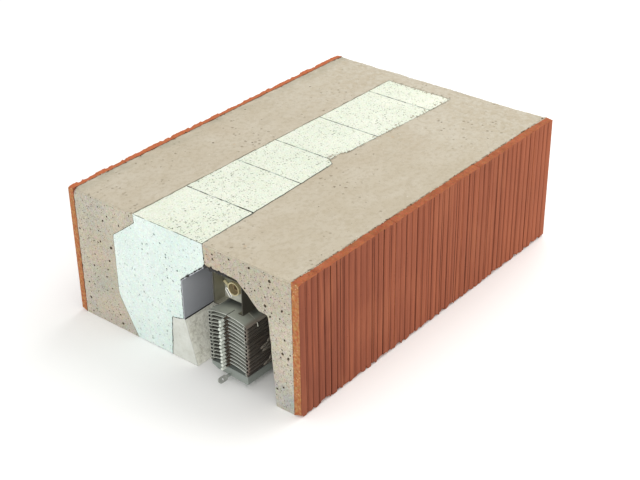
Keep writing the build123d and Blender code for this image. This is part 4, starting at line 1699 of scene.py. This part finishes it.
def studio():
    """Pale floor, white surround and large soft lights."""
    mesh = bpy.data.meshes.new("studio_floor")
    corners = [(x * floor_reach, y * floor_reach, 0) for x, y in ((-1, -1), (1, -1), (1, 1), (-1, 1))]
    mesh.from_pydata(corners, [], [(0, 1, 2, 3)])
    mesh.materials.append(floor_finish())
    floor = placed("studio_floor", mesh)
    world = bpy.data.worlds.new("studio_surround")
    world.use_nodes = True
    surround = world.node_tree.nodes["Background"]
    surround.inputs["Color"].default_value = (1.0, 1.0, 1.0, 1)
    surround.inputs["Strength"].default_value = surround_strength
    scene.world = world
    soft_light("overhead_light", (0.1, 1.5, 2.3), 2.4, 36)
    soft_light("low_end_light", (0.4, -2.3, 0.55), 1.0, 10)
    soft_light("right_end_light", (1.0, -1.8, 1.1), 1.4, 13)
    soft_light("side_light", (2.0, 1.7, 1.0), 1.6, 16)
    scene.view_settings.view_transform = "Standard"


def photo_camera():
    data = bpy.data.cameras.new("photo_camera")
    data.sensor_width = sensor_width
    data.lens = focal_pixels / image_width * sensor_width
    camera = placed("photo_camera", data)
    level = math.cos(camera_drop)
    forward_x = -math.sin(camera_heading) * level
    forward_y = math.cos(camera_heading) * level
    forward = Vector((forward_x, forward_y, -math.sin(camera_drop)))
    right = Vector((math.cos(camera_heading), math.sin(camera_heading), 0))
    above = right.cross(forward)
    turned_right = math.cos(camera_roll) * right + math.sin(camera_roll) * above
    turned_above = math.cos(camera_roll) * above - math.sin(camera_roll) * right
    pose = Matrix((turned_right, turned_above, -forward)).transposed().to_4x4()
    pose.translation = camera_place
    camera.matrix_world = pose
    scene.camera = camera


def lintel():
    """Every piece of the lintel, set in its place."""
    concrete = [trowelled_concrete(), sawn_concrete(), cast_concrete(), pore_shade()]
    seat(concrete_casting(concrete), "concrete", "concrete_body")
    clay = [clay_skin(), clay_cut(), concrete[0]]
    for number in (1, 2, 3):
        for side_name, outward in (("inner", -1), ("outer", 1)):
            node = f"{side_name}_facing_tile_{number}"
            seat(clay_tile(node, outward, number + (10 if outward > 0 else 0), clay), "clay", node)
    foam = [planed_foam(), sawn_foam()]
    for node in sorted(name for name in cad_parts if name.startswith("insulation_block")):
        seat(foam_block(node, foam), "white_foam", node)
    seat(lower_strip([grey_foam()]), "grey_foam", "lower_insulation_strip")
    seat(trowel_crumbs(concrete[2]), "concrete")
    seat(seam_crumbs(clay_grit()), "clay")
    slats = [f"slat_{number:02d}" for number in range(1, slat_count + 1)]
    seat(slat_pack(slat_enamel()), "slat_enamel", *slats)
    tips = pin_tip()
    # The shanks carry painted shade; the heads keep their pale moulding.
    shaded_shanks = pin_shank_shade()
    seat(pin_column("guide_pins_near", slat_low.y, -1, 8, shaded_shanks, tips), "guide_pin", "guide_pins_near")
    seat(pin_column("guide_pins_far", slat_high.y, 1, 9, shaded_shanks, tips), "guide_pin", "guide_pins_far")
    braid = cord_braid()
    for number in (1, 2):
        for side_name, side in (("inner", -1), ("outer", 1)):
            strand = ladder_cord(number, side_name, side, 30 + 2 * number + side, braid)
            seat(strand, "ladder_cord", f"ladder_cord_{number}_{side_name}")
    # Black beads: adhesive, and painted shadow in the gaps round the lining.
    glue = black_glue_and_shadow()
    for glued in (lining_glue, strip_glue, lip_glue, lining_foot):
        seat(glued(glue), "slate_sheet")
    plate = bright_zinc()
    cream = cream_moulding()
    rail = rail_enamel()
    seat(slot_rim(slot_rim_highlight()), "galvanised_sheet")
    seat(bush_arm(cream), "cream_moulding")
    seat(ladder_clip(plate), "galvanised_sheet")
    dress_cad({
        "pocket_lining": slate_sheet(),
        "headrail": galvanised_sheet(),
        "bearing_plate_near": plate,
        "bearing_plate_far": plate,
        "bearing_bush_near": cream,
        "bearing_bush_far": cream,
        "tilt_shaft": greased_steel(),
        "headrail_clip_1": cream,
        "headrail_clip_2": cream,
        "ladder_drum_1": cream,
        "ladder_drum_2": cream,
        "bottom_rail": rail,
        "rail_cap_near": rail,
        "rail_cap_far": rail,
    })


stack = stack_tree()
photo_camera()
studio()
lintel()
